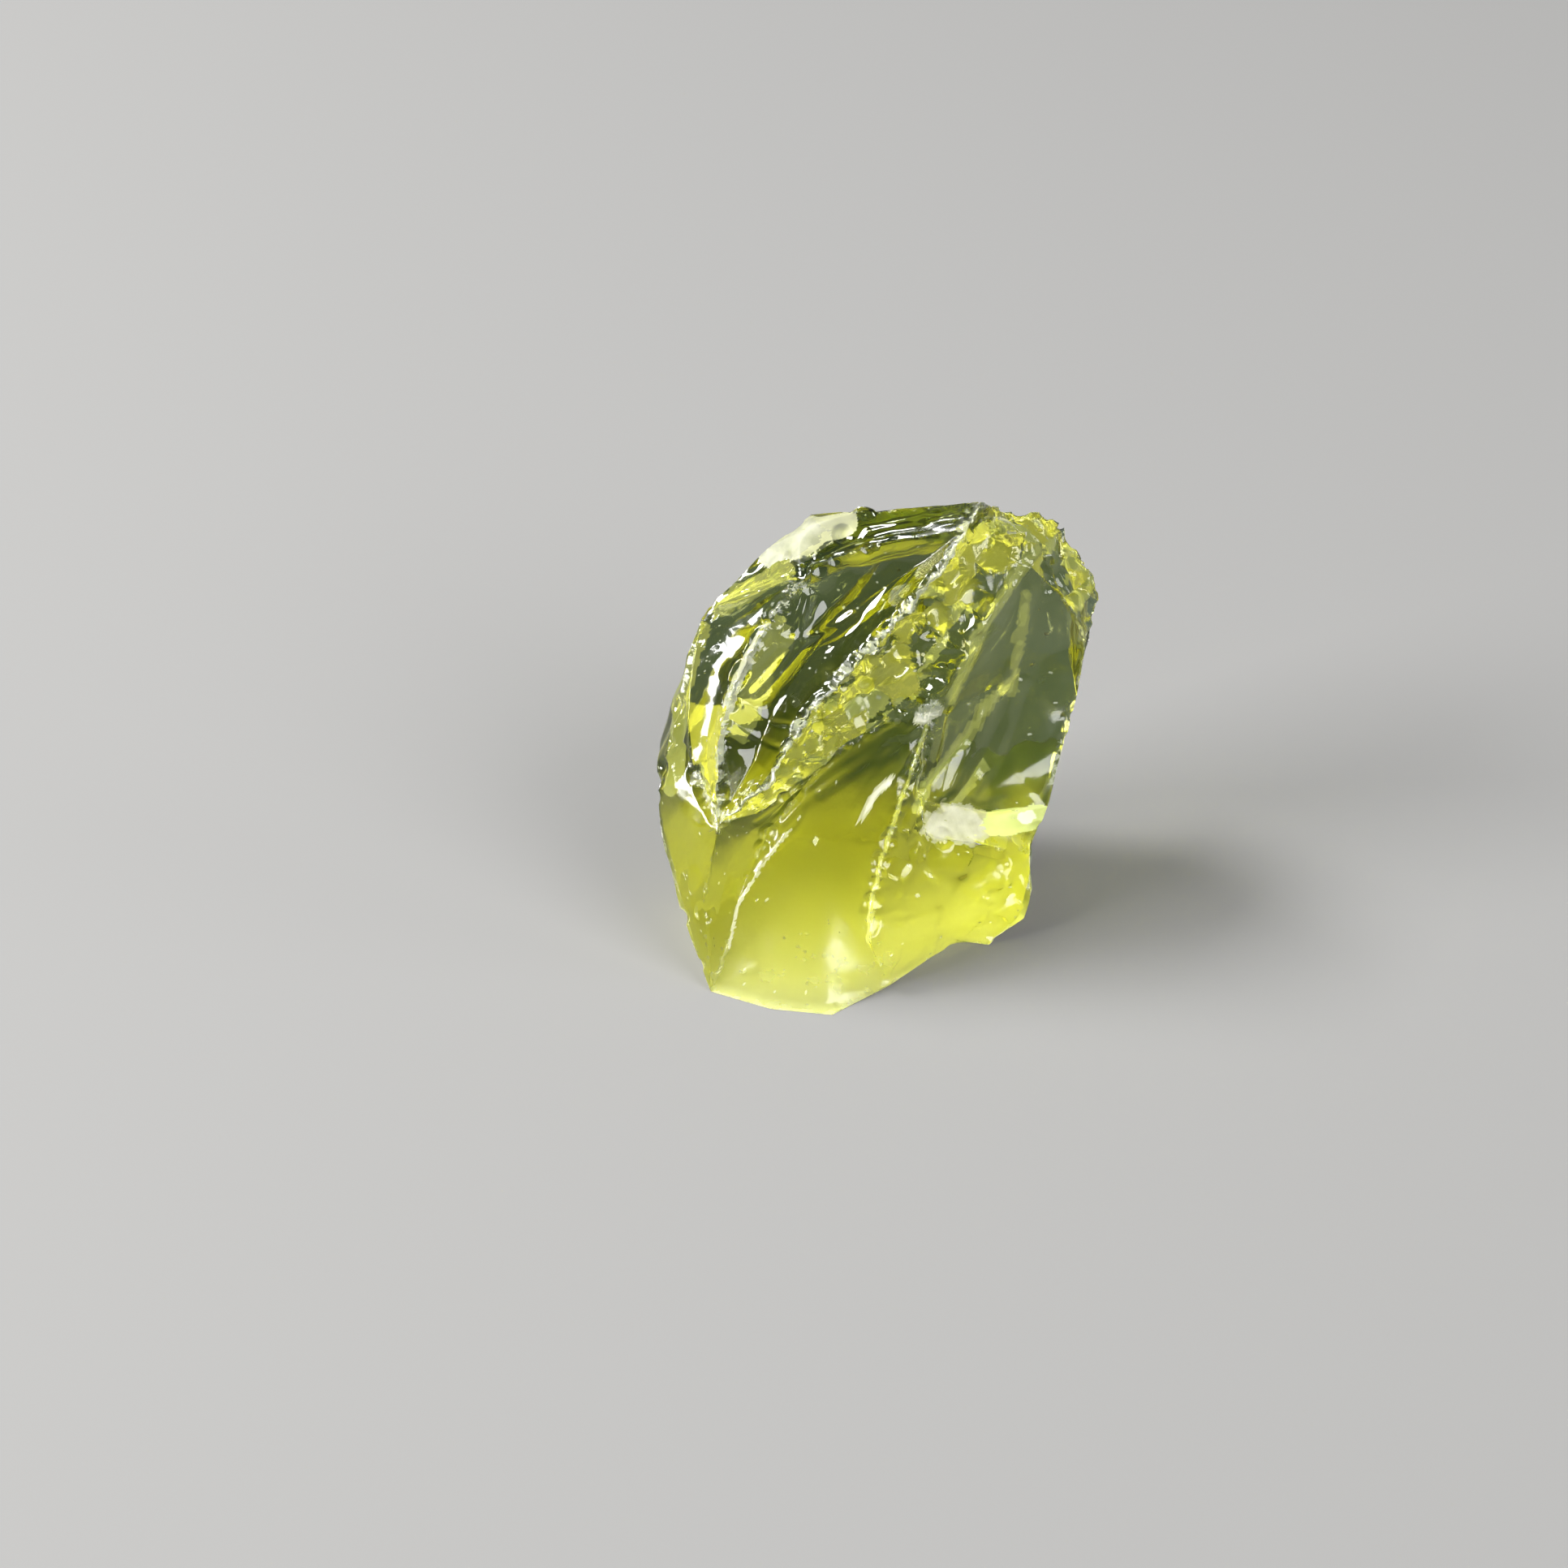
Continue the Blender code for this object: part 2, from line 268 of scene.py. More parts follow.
# %% The scars along the top
SCARS.update({
    "top_right": scar(
        "top2 notch seam3 shoulder right7 right8 right9 right10 right11 top1",
        start="top1", lumps=0.3, pits=0.08, shards=0.8, grain=1.6, ripple=0,
    ),
    "lobe": scar(
        "top6 lobe2 lobe1 top4 top5",
        start="top5", hollow=-0.8, frost=0.8, ripple=0, hackle=0,
    ),
    "rim_low": scar(
        "left1 rim4 rim3 lobe2 top6",
        start="left1", hollow=0.2, lumps=0.08, shards=0.2, frost=0.12, hackle=0.05,
    ),
    "rim_high": scar(
        "rim3 rim2 rim1 ridge1 peak top3 top4 lobe1 lobe2",
        start="left1", hollow=0.5, lumps=0.12, pits=0.02, shards=0.5, grain=5,
        frost=0.04, ripple=0.03, wave=2.2, hackle=0.12,
    ),
})
print("scars in sight:", len(SCARS))

# %% The scars behind, at the left
SCARS.update({
    "back_left_low": scar(
        "foot1 left6 left5 left4 back1 base5",
        like=BROAD_HABIT, start="left4", hollow=0.4, pits=0.02, frost=0.35,
    ),
    "back_left": scar(
        "left4 left3 left2 left1 back2 back1",
        like=BROAD_HABIT, start="left1", hollow=-0.4, frost=0.2,
    ),
    "back_left_top": scar(
        "left1 top6 top5 back2",
        like=BROAD_HABIT, start="top5", hollow=0.4, frost=0.15,
    ),
    "back_low": scar(
        "base5 back1 back3 base4",
        like=BROAD_HABIT, start="base5", hollow=-0.4, lumps=0.2, pits=0.02, frost=0.35,
    ),
})
print("scars in sight and behind at the left:", len(SCARS))

# %% The scars behind, in the middle and at the right
SCARS.update({
    "back_middle": scar(
        "back1 back2 back4 back3",
        like=BROAD_HABIT, start="back4", hollow=1.3, lumps=0.1,
    ),
    "back_top": scar(
        "back2 top5 top4 top3 peak back4",
        "peak top2 top1 back6 back4",
        like=BROAD_HABIT, start="peak", hollow=1.2,
    ),
    "back_right_low": scar(
        "base4 back3 back5 base2 base3",
        like=BROAD_HABIT, start="base4", hollow=0.5, lumps=0.2, pits=0.02, frost=0.35,
    ),
    "back_right": scar(
        "back3 back4 back6 back5",
        like=BROAD_HABIT, start="back6", hollow=0.8, lumps=0.1, hackle=0.25,
    ),
    "right_high": scar(
        "top1 right11 right10 right9 right8 right7 right6 back5 back6",
        like=BROAD_HABIT, start="top1", hollow=0.5, pits=0.02, frost=0.12,
    ),
    "right_low": scar(
        "right6 right5 right4 right3 right2 right1 base1 base2 back5",
        "right1 foot6 base1",
        like=BROAD_HABIT, start="back5", hollow=0.3, pits=0.02, frost=0.25,
    ),
})
print("scars:", len(SCARS), "faces:", sum(len(each["rings"]) for each in SCARS.values()))

# %% [markdown]
# ## From the net to a fine surface
# A mesh of the net with any number of corners is split at its middle into four-sided patches, one
# for each corner. On a patch a point is a function of two parameters: it slides from the corner to
# the middle of the next side, and from the middle of the last side to the middle of the face.
# Patches meet point to point, so merging equal points closes the surface. A second, finer grid
# follows once the coarse one is smoothed, because smoothing spreads slowly on a fine grid.

# %% Patches on a grid of two parameters
COARSE = 4
FINE = 20
MERGE_DIGITS = 4


def patch_corners():
    """For each patch its four corners (corner, next middle, face middle, last middle), and its scar."""
    quads, scar_of = [], []
    for number, each in enumerate(SCARS.values()):
        for names in each["rings"]:
            ring = np.array([corners[name] for name in names.split()])
            after = 0.5 * (ring + np.roll(ring, -1, axis=0))
            before = 0.5 * (ring + np.roll(ring, 1, axis=0))
            middle = np.broadcast_to(ring.mean(axis=0), ring.shape)
            quads.append(np.stack([ring, after, middle, before], axis=1))
            scar_of.append(np.full(len(ring), number))
    return np.concatenate(quads), np.concatenate(scar_of)


def bilinear(quads, steps):
    """(1-u)(1-v) of the corner, u(1-v) of the next, uv of the opposite and (1-u)v of the last."""
    u, v = np.meshgrid(np.linspace(0, 1, steps + 1), np.linspace(0, 1, steps + 1), indexing="ij")
    blend = np.stack([(1 - u) * (1 - v), u * (1 - v), u * v, (1 - u) * v])
    return np.einsum("kij,qkc->qijc", blend, quads)


def welded(grid):
    """One number for each different point of the grid, and the four-sided faces by those numbers."""
    flat = grid.reshape(-1, 3)
    rounded = np.round(flat, MERGE_DIGITS)
    _, first, number = np.unique(rounded, axis=0, return_index=True, return_inverse=True)
    number = number.reshape(grid.shape[:3])
    round_face = (number[:, :-1, :-1], number[:, 1:, :-1], number[:, 1:, 1:], number[:, :-1, 1:])
    return flat[first], number, np.stack(round_face, axis=-1).reshape(-1, 4)


quads, patch_scar = patch_corners()
coarse_points, coarse_number, coarse_faces = welded(bilinear(quads, COARSE))
print("patches:", len(quads), "coarse points:", len(coarse_points))

# %% [markdown]
# ## Relax each scar
# A scar's own faces are joined by relaxing: each inner point moves to the mean of its neighbours
# while the ridge points stay where they are, as a soap film hangs in its wire. Blender's Smooth
# modifier with a vertex group could do it too. Here it is a few whole-array sums, repeated.

# %% Neighbours and ridges
def side_pairs(faces):
    """Each side of the faces once, as a pair of point numbers."""
    sides = np.concatenate([faces[:, [0, 1]], faces[:, [1, 2]], faces[:, [2, 3]], faces[:, [3, 0]]])
    return np.unique(np.sort(sides, axis=1), axis=0)


def scar_touches(faces, face_scar):
    """Each pair of a point and a scar whose faces it belongs to, once."""
    return np.unique(np.stack([faces.ravel(), np.repeat(face_scar, 4)], axis=1), axis=0)


def on_ridge(touches):
    """True for each point that belongs to more than one scar."""
    return np.bincount(touches[:, 0]) > 1


def summed(owners, values):
    """The sum of the values that each point owns. Owners gives the point's number for each value."""
    return np.stack([np.bincount(owners, column) for column in values.T], axis=1)


def neighbour_mean(values, pairs):
    """The mean of the values at the other ends of each point's sides."""
    ends = np.concatenate([pairs[:, 0], pairs[:, 1]])
    others = np.concatenate([pairs[:, 1], pairs[:, 0]])
    return summed(ends, values[others]) / np.bincount(ends)[:, None]


def relaxed(points, pairs, held, rounds):
    """The points after moving each free one to its neighbours' mean, so many times over."""
    for _ in range(rounds):
        points = np.where(held[:, None], points, neighbour_mean(points, pairs))
    return points


coarse_pairs = side_pairs(coarse_faces)
print("sides of the coarse grid:", len(coarse_pairs))

# %% Relax the coarse grid, then the fine one
COARSE_ROUNDS = 300
FINE_ROUNDS = 60
coarse_scar = np.repeat(patch_scar, COARSE * COARSE)
coarse_ridge = on_ridge(scar_touches(coarse_faces, coarse_scar))
coarse_film = relaxed(coarse_points, coarse_pairs, coarse_ridge, COARSE_ROUNDS)

_, number, faces = welded(bilinear(quads, FINE))
fine_steps = np.linspace(0, COARSE, FINE + 1)
finer = np.stack([np.interp(fine_steps, range(COARSE + 1), row) for row in np.eye(COARSE + 1)])
fine_grid = np.einsum("ai,bj,qabc->qijc", finer, finer, coarse_film[coarse_number])
points = np.zeros((number.max() + 1, 3))
points[number.ravel()] = fine_grid.reshape(-1, 3)
face_scar = np.repeat(patch_scar, FINE * FINE)
pairs = side_pairs(faces)
touches = scar_touches(faces, face_scar)
ridge = on_ridge(touches)
points = relaxed(points, pairs, ridge, FINE_ROUNDS)
print("fine points:", len(points), "faces:", len(faces), "ridge points:", int(ridge.sum()))

# %% [markdown]
# ## Distance from the ridge
# Hollows, frost and bruises all depend on how far a point lies from the ridge round its scar. Each
# inner point is compared with all the ridge points of its own scar. That also tells which stretch of
# ridge is nearest, so a bruise can be strong on one ridge and absent on another.

# %% Each point's gap to its ridge
BATCH = 2000
scar_number = {name: number for number, name in enumerate(SCARS)}


def members_of(name):
    """The numbers of the points of one scar, its ridge among them."""
    return touches[touches[:, 1] == scar_number[name], 0]


gap = np.zeros(len(points))
nearest_ridge = np.arange(len(points))
for name in SCARS:
    members = members_of(name)
    inner, rim = members[~ridge[members]], members[ridge[members]]
    for part in np.array_split(inner, max(1, len(inner) // BATCH)):
        apart = np.linalg.norm(points[part][:, None] - points[rim][None], axis=2)
        gap[part] = apart.min(axis=1)
        nearest_ridge[part] = rim[apart.argmin(axis=1)]
print("widest gap, mm:", gap.max().round(2))

# %% [markdown]
# ## Random fields
# Broken stone needs randomness that is smooth, repeatable and the same on both sides of a ridge.
# A lattice of random values that is blended between its nodes gives that, because the value depends
# on the place alone. A Displace modifier with a clouds texture is the ready-made way, but it can't
# be steered scar by scar. Each noise below is named as a pair: its size in mm and its seed.

# %% Smooth noise
NOISE_TABLE = 4096
NOISE_PRIMES = np.array([73856093, 19349663, 83492791])


def lattice_noise(places, size, seed):
    """Random values from -1 to 1 on a cubic lattice of this size, blended so that even bends are smooth."""
    table = np.random.default_rng(seed).uniform(-1, 1, NOISE_TABLE)
    cell = places / size
    low = np.floor(cell).astype(np.int64)
    share = cell - low
    share = share ** 3 * (share * (share * 6 - 15) + 10)
    total = np.zeros(len(places))
    for corner in itertools.product((0, 1), repeat=3):
        node = (low + corner) @ NOISE_PRIMES % NOISE_TABLE
        total += table[node] * np.prod(np.where(corner, share, 1 - share), axis=1)
    return total


def vector_noise(places, size, seed):
    """Three smooth random values at each place."""
    return np.stack([lattice_noise(places, size, seed + axis) for axis in range(3)], axis=1)


print("noise at the peak:", lattice_noise(corners["peak"][None], 2.0, 1).round(3))

# %% Flat shards
SHARD_LIMIT = 0.3
SHARD_TILT = 0.3
SHARD_BEND = 0.25
SHARD_NOISE = (0.9, 51)
SHARD_BATCH = 4000


def shard_cells(places, count, seed):
    """Each place belongs to its nearest seed, whose flat shard is tilted its own way.

    Gives the shard's height at each place, and one random share from 0 to 1 for the whole shard.
    """
    rng = np.random.default_rng(seed)
    seeds = places[rng.choice(len(places), count, replace=False)]
    slopes = rng.normal(0, SHARD_TILT, (count, 3))
    shares = rng.uniform(0, 1, count)
    height, share = np.zeros(len(places)), np.zeros(len(places))
    for part in np.array_split(np.arange(len(places)), max(1, len(places) // SHARD_BATCH)):
        bent = places[part] + SHARD_BEND * vector_noise(places[part], *SHARD_NOISE)
        apart = bent[:, None] - seeds[None]
        own = (apart ** 2).sum(axis=2).argmin(axis=1)
        rise = (apart[np.arange(len(part)), own] * slopes[own]).sum(axis=1)
        height[part] = np.clip(rise, -SHARD_LIMIT, SHARD_LIMIT)
        share[part] = shares[own]
    return height, share


print("a shard of strength 1 stands out by at most, mm:", SHARD_LIMIT)


# %% The outward direction of each face and each point
def area_normals(places, faces):
    """Each face's outward normal, as long as its area: half the cross product of its diagonals."""
    across = places[faces[:, 2]] - places[faces[:, 0]]
    along = places[faces[:, 3]] - places[faces[:, 1]]
    return 0.5 * np.cross(across, along)


def point_normals(places, faces):
    """The outward direction at each point: the sum of its faces' area normals, with length 1."""
    normals = summed(faces.ravel(), np.repeat(area_normals(places, faces), 4, axis=0))
    return normals / np.linalg.norm(normals, axis=1, keepdims=True)


normals = point_normals(points, faces)
print("points that face up:", int((normals[:, 2] > 0.5).sum()))

# %% [markdown]
# ## Shape the scars
# The hollow is a quarter sine of the gap, so a scar meets its ridge at an angle and runs flat in its
# middle. Ripples are rings round the corner that the break started from, and hackle is the fan of
# fine streaks that runs out from it. Lumps are noise, and the shattered scars are cut into tilted
# shards. Everything but the lumps fades at the ridge, so that both sides of it agree.

# %% Ripples, hackle and the foot's worn band
RING_NOISE = (4.0, 11)
RING_WANDER = 2.0
HACKLE_NOISE = (1.0, 61)
HACKLE_FAN = 9.0
HACKLE_LENGTH = 9.0
LEAST_REACH = 0.1
FOOT_NOISE = (3.0, 13)
FOOT_WAVER = 0.5
FOOT_BAND = 1.9


def ripples(places, reach, wave):
    """A sine of the distance from the start of the break, whose rings wander a little."""
    wander = RING_WANDER * lattice_noise(places, *RING_NOISE)
    return np.sin(2 * math.pi * reach / wave + wander)


def hackle(from_start, reach, facing, seed):
    """Noise of the bearing from the start, drawn out along the distance into fanned streaks."""
    aside = np.cross(facing, from_start.mean(axis=0))
    aside /= np.linalg.norm(aside)
    bearing = np.arcsin(np.clip(from_start @ aside / np.maximum(reach, LEAST_REACH), -1, 1))
    layer = np.full(len(reach), seed + 0.5)
    streak = np.stack([bearing * HACKLE_FAN, reach / HACKLE_LENGTH, layer], axis=1)
    return lattice_noise(streak, *HACKLE_NOISE)


def foot_share(places):
    """1 on the rest face, falling to 0 at the wavy top of the foot's worn band."""
    band_top = FOOT_BAND + FOOT_WAVER * lattice_noise(places, *FOOT_NOISE)
    return np.clip(1 - places[:, 2] / band_top, 0, 1)


print("points in the foot's worn band:", int((foot_share(points) > 0).sum()))

# %% Sink each scar by its habit
RIDGE_FADE = 0.8
HACKLE_START = 4.0
FOOT_STEP = 0.25
LEAST_SHARDS = 5
SHARD_SEED = 100
LUMP_NOISE = (2.8, 21)
PIT_NOISE = (1.0, 22)
moves = np.zeros_like(points)
habit = {key: np.zeros(len(points)) for key in ("frost", "lumps", "pits")}
scars_at = np.bincount(touches[:, 0])
shard_draw = np.ones(len(points))
for name, each in SCARS.items():
    members = members_of(name)
    for key in habit:
        habit[key][members] += each[key] / scars_at[members]
    inner = members[~ridge[members]]
    area = area_normals(points, faces[face_scar == scar_number[name]])
    facing = area.sum(axis=0) / np.linalg.norm(area.sum(axis=0))
    fade = np.clip(gap[inner] / RIDGE_FADE, 0, 1)
    from_start = points[inner] - corners[each["start"]]
    reach = np.linalg.norm(from_start, axis=1)
    sink = each["hollow"] * np.sin(0.5 * math.pi * gap[inner] / gap[inner].max())
    sink += each["ripple"] * fade * ripples(points[inner], reach, each["wave"])
    streaks = hackle(from_start, reach, facing, scar_number[name])
    sink += each["hackle"] * fade * np.clip(reach / HACKLE_START, 0, 1) * streaks
    if name in ("front", "right_foot"):
        sink += FOOT_STEP * foot_share(points[inner]) * fade
    if each["shards"] > 0:
        count = max(LEAST_SHARDS, int(np.linalg.norm(area, axis=1).sum() / each["grain"]))
        seed = SHARD_SEED + scar_number[name]
        height, shard_draw[inner] = shard_cells(points[inner], count, seed)
        sink += each["shards"] * fade * height
    moves[inner] -= facing * sink[:, None]
lumps = habit["lumps"] * lattice_noise(points, *LUMP_NOISE)
lumps += habit["pits"] * lattice_noise(points, *PIT_NOISE)
moves += normals * lumps[:, None]
shaped = points + moves
print("largest move, mm:", np.linalg.norm(moves, axis=1).max().round(2))

# %% [markdown]
# ## Bruised ridges
# A fresh break leaves ridges as thin as glass splinters, and every knock bruises them. The list
# says how badly each ridge is bruised, by the corners that it runs through. A point takes the value
# of the stretch of ridge nearest to it, so both flanks of a ridge share its bruise.

# %% How badly each ridge is bruised: 0 to 1
BRUISES = {
    "peak ridge1 ridge2 ridge3 ridge4 ridge5 ridge6 toe": 1.0,
    "rim3 rib1 rib2 rib3 toe": 0.75,
    "edge3 toe": 0.8,
    "rib3 edge3": 0.6,
    "knot seam1": 0.35,
    "knot spine1 spine2 spine3 spine4": 0.4,
    "lip1 lip2 lip3": 0.35,
    "peak top2 top1 right11 right10 right9 right8 right7": 0.2,
    "top2 notch seam3": 0.5,
    "shin1 shin2 shin3": 0.15,
    "rim3 rim2 rim1 ridge1": 0.15,
}
LEAST_BRUISE = 0.08
ON_LINE = 0.05


def line_distance(places, stops):
    """The distance from each place to the nearest straight stretch between the stops."""
    best = np.full(len(places), np.inf)
    stops = np.array(stops)
    for start, end in zip(stops[:-1], stops[1:]):
        way = end - start
        share = np.clip((places - start) @ way / (way @ way), 0, 1)
        best = np.minimum(best, np.linalg.norm(places - start - share[:, None] * way, axis=1))
    return best


ridge_at = np.flatnonzero(ridge)
bruise_of = np.full(len(points), LEAST_BRUISE)
for names, strength in BRUISES.items():
    stops = [corners[name] for name in names.split()]
    on_line = ridge_at[line_distance(points[ridge_at], stops) < ON_LINE]
    bruise_of[on_line] = np.maximum(bruise_of[on_line], strength)
bruise_of = bruise_of[nearest_ridge]
print("badly bruised ridge points:", int((bruise_of[ridge_at] > 0.7).sum()))

# %% [markdown]
# ## Chips
# Every harder knock takes a chip off a ridge: a small round scoop. The chips' places are drawn at
# random along the ridges, more of them where the bruise is bad. Cutting them with a Boolean would
# take minutes and leave a rough mesh, so the points near a chip are pushed in along its own
# direction instead.

# %% Draw the chips and push them in
CHIPS = 260
CHIP_WIDTH = (0.35, 0.95)
CHIP_DEPTH = 0.45
CHIP_SEED = 5
rng = np.random.default_rng(CHIP_SEED)
base_points = members_of("base")
chance = bruise_of[ridge_at] * ~np.isin(ridge_at, base_points)
chip_at = rng.choice(ridge_at, CHIPS, replace=False, p=chance / chance.sum())
chip_width = rng.uniform(*CHIP_WIDTH, CHIPS)
normals = point_normals(shaped, faces)
chipped = np.zeros(len(points))
chip_push = np.zeros_like(points)
near_ridge = np.flatnonzero(gap < CHIP_WIDTH[1])
for centre, outward, width in zip(shaped[chip_at], normals[chip_at], chip_width):
    away = np.linalg.norm(shaped[near_ridge] - centre, axis=1) / width
    bowl = CHIP_DEPTH * width * np.clip(1 - away ** 2, 0, 1)
    deeper = bowl > chipped[near_ridge]
    chipped[near_ridge[deeper]] = bowl[deeper]
    chip_push[near_ridge[deeper]] = -outward * bowl[deeper, None]
print("chips:", CHIPS, "deepest, mm:", chipped.max().round(2))

# %% [markdown]
# ## Low ribs inside the scars
# Where two steps of a break run side by side, a low rib stays between them. Ribs bend the light that
# comes through, so they show as bright and dark streaks. Each is a gentle bump along a line that is
# given as it looks from the eye, in the same millimetres as the corners, and it is raised only where
# the surface faces the eye.

# %% Ribs: height, half width and the places they run through (across and up), in mm
RIBS = (
    # on the front face, below the crumbled band and beside the spine
    (0.20, 0.45, ((-5.0, 13.2), (-2.1, 15.3), (1.3, 17.6), (4.4, 19.6))),
    (0.16, 0.35, ((-3.3, 13.2), (0.6, 16.3), (3.6, 18.5), (6.0, 19.6))),
    (0.12, 0.30, ((-0.6, 15.1), (2.1, 17.0), (4.4, 18.2))),
    (0.08, 0.18, ((-2.1, 13.6), (-4.8, 10.2), (-6.5, 7.4), (-7.1, 4.3))),
    (0.16, 0.25, ((6.1, 11.7), (4.6, 8.2), (4.8, 4.7))),
    # in the window, upwards from its lip
    (0.22, 0.50, ((8.2, 15.5), (10.2, 19.8), (11.7, 22.9), (12.7, 25.6), (13.4, 29.0))),
    (0.18, 0.40, ((7.3, 14.4), (9.0, 18.2), (10.7, 21.7), (11.7, 24.0))),
    (0.14, 0.40, ((9.8, 15.1), (12.1, 19.9), (12.9, 22.9))),
    # in the shell
    (0.20, 0.40, ((-3.3, 25.6), (-1.3, 26.0), (0.6, 26.7), (1.5, 27.2))),
    (0.20, 0.40, ((-5.2, 22.1), (-3.3, 24.4), (-2.1, 26.7), (-1.5, 28.7))),
    (0.10, 0.20, ((-7.5, 20.2), (-4.8, 19.0), (-3.3, 18.2))),
    (0.10, 0.20, ((-7.1, 21.7), (-4.0, 20.2), (-2.1, 19.8))),
    # along the top band
    (0.20, 0.35, ((-0.2, 31.0), (2.5, 32.9), (5.2, 33.5), (8.3, 33.7))),
    (0.16, 0.30, ((1.7, 31.9), (4.4, 32.7), (7.1, 32.9))),
)
print("ribs:", len(RIBS))

# %% Raise the ribs
RIB_FADE = 0.5
RIB_WANDER = 0.25
RIB_NOISES = ((2.0, 71), (2.0, 72))
FACING_GAIN = 4
sight = sight_of(shaped)
eye_way = EYE - shaped
towards_eye = FACING_GAIN * (normals * eye_way).sum(axis=1) / np.linalg.norm(eye_way, axis=1)
in_sight = np.clip(towards_eye, 0, 1)
wander = RIB_WANDER * np.stack([lattice_noise(shaped, *each) for each in RIB_NOISES], axis=1)
ribs = np.zeros(len(points))
for height, half_width, stops in RIBS:
    ribs += height * np.exp(-(line_distance(sight + wander, stops) / half_width) ** 2)
shaped = shaped + normals * (ribs * in_sight * np.clip(gap / RIB_FADE, 0, 1))[:, None]
print("highest rib, mm:", ribs.max().round(2))

# %% [markdown]
# ## Beads along the bruised ridges
# Under a lens a bruised ridge is a row of tiny broken beads. Noise in three directions moves the
# points close to it, most where the bruise is bad. A single point that sticks out would look like
# a thorn, so it is drawn back towards its neighbours until it stands out by the limit at most.

# %% Roughen the ridges and hold back thorns
BEAD_NOISE = (0.5, 31)
CRUMB_NOISE = (0.22, 35)
CRUMB_SHARE = 0.25
BEAD_SIZE = 0.14
BEAD_REACH = 0.6
BEAD_EDGE = 1.2
SPIKE_LIMIT = 0.28
SPIKE_ROUNDS = 3
beads = vector_noise(shaped, *BEAD_NOISE) + CRUMB_SHARE * vector_noise(shaped, *CRUMB_NOISE)
jitter = beads * (BEAD_SIZE * bruise_of * np.clip(BEAD_EDGE - gap / BEAD_REACH, 0, 1))[:, None]
shaped = shaped + chip_push + jitter
for _ in range(SPIKE_ROUNDS):
    smooth = neighbour_mean(shaped, pairs)
    apart = np.linalg.norm(shaped - smooth, axis=1)
    keep = np.minimum(1, SPIKE_LIMIT / np.maximum(apart, SPIKE_LIMIT))
    shaped = smooth + (shaped - smooth) * keep[:, None]
shaped[base_points] = points[base_points]
shaped[:, 2] = np.maximum(shaped[:, 2], 0.0)
print("largest bead, mm:", np.linalg.norm(jitter, axis=1).max().round(2))

# %% [markdown]
# ## Where each finish lies
# Some places of the real stone are full of fine cracks: the ridges are bruised white, the band below
# the long ridge is crumbled, the lobe is milky, and snow lies on the ledge. Other masks are painted
# light and shade: a yellow glow in parts of the crumbled lines, a hot spot with a glowing ring at the
# ledge, and a dark green shade along the top band. They could be painted by hand as a vertex colour.
# Here each is a mask from 0 to 1, made from lines and round spots with a grainy border. Lines are
# given as they look from the eye, and hold for the points in sight alone.

# %% Round spots: the corners whose middle they lie at, their radius (mm) and strength
BRUISED_SPOTS = {
    "knot": (1.1, 1.1),
    "toe": (1.0, 0.9),
    "ridge6 rib3 toe": (1.3, 0.7),
    "ridge1": (0.8, 0.8),
}
FROSTED_SPOTS = {
    "ridge1 top2 seam3": (6.0, 0.7),
    "foot3": (15.0, 0.5),
}
print("round spots:", len(BRUISED_SPOTS) + len(FROSTED_SPOTS))

# %% Crumbled lines (partly painted glow), white lines and the painted hot spot: strength, half width and the places they run through, in mm
LINES = {
    "crumbs": (
        # partly painted light: the band below the long ridge is really crumbled, and its bright yellow,
        # like the block high at the right, is painted glow
        (1.00, 2.2, ((-5.5, 14.6), (-1.5, 18.4), (2.6, 21.8))),
        (0.80, 2.8, ((2.6, 22.4), (5.5, 25.5), (8.5, 30.0))),
        (0.90, 2.6, ((9.0, 30.5), (11.5, 32.0), (13.5, 32.5))),
        (1.00, 1.0, ((16.3, 29.9), (17.4, 29.5))),
        (0.75, 1.6, ((16.6, 31.6), (17.0, 28.6))),
        (0.80, 1.3, ((-8.7, 21.0), (-8.4, 18.5), (-8.0, 15.5))),
    ),
    "milk": (
        (1.0, 1.15, ((-4.0, 31.6), (-1.6, 33.0))),
        (0.5, 0.95, ((-1.6, 33.0), (0.9, 33.6))),
        (0.3, 0.15, ((-2.1, 13.6), (-4.8, 10.2), (-6.5, 7.4), (-7.1, 4.3))),
        (0.5, 0.42, ((-4.5, 26.4), (-6.5, 23.0), (-7.5, 20.0), (-7.9, 17.4))),
        (0.5, 0.70, ((11.5, 33.6), (14.0, 33.0))),
    ),
    "snow": (
        (1.0, 1.35, ((7.3, 13.0), (8.3, 13.2), (9.6, 12.9))),
        (0.8, 0.22, ((2.3, 14.0), (2.9, 15.1), (4.0, 16.1))),
        (0.9, 0.50, ((6.1, 20.2), (7.1, 20.7))),
    ),
    # painted highlight: a bright hot spot at the right end of the ledge, with a painted glowing ring round
    # it
    "glint": (
        (1.0, 0.60, ((13.2, 13.5), (13.5, 13.6))),
        (0.6, 0.95, ((11.2, 13.1), (14.2, 13.5))),
    ),
}
print("crumbled and white lines:", sum(len(lines) for lines in LINES.values()))
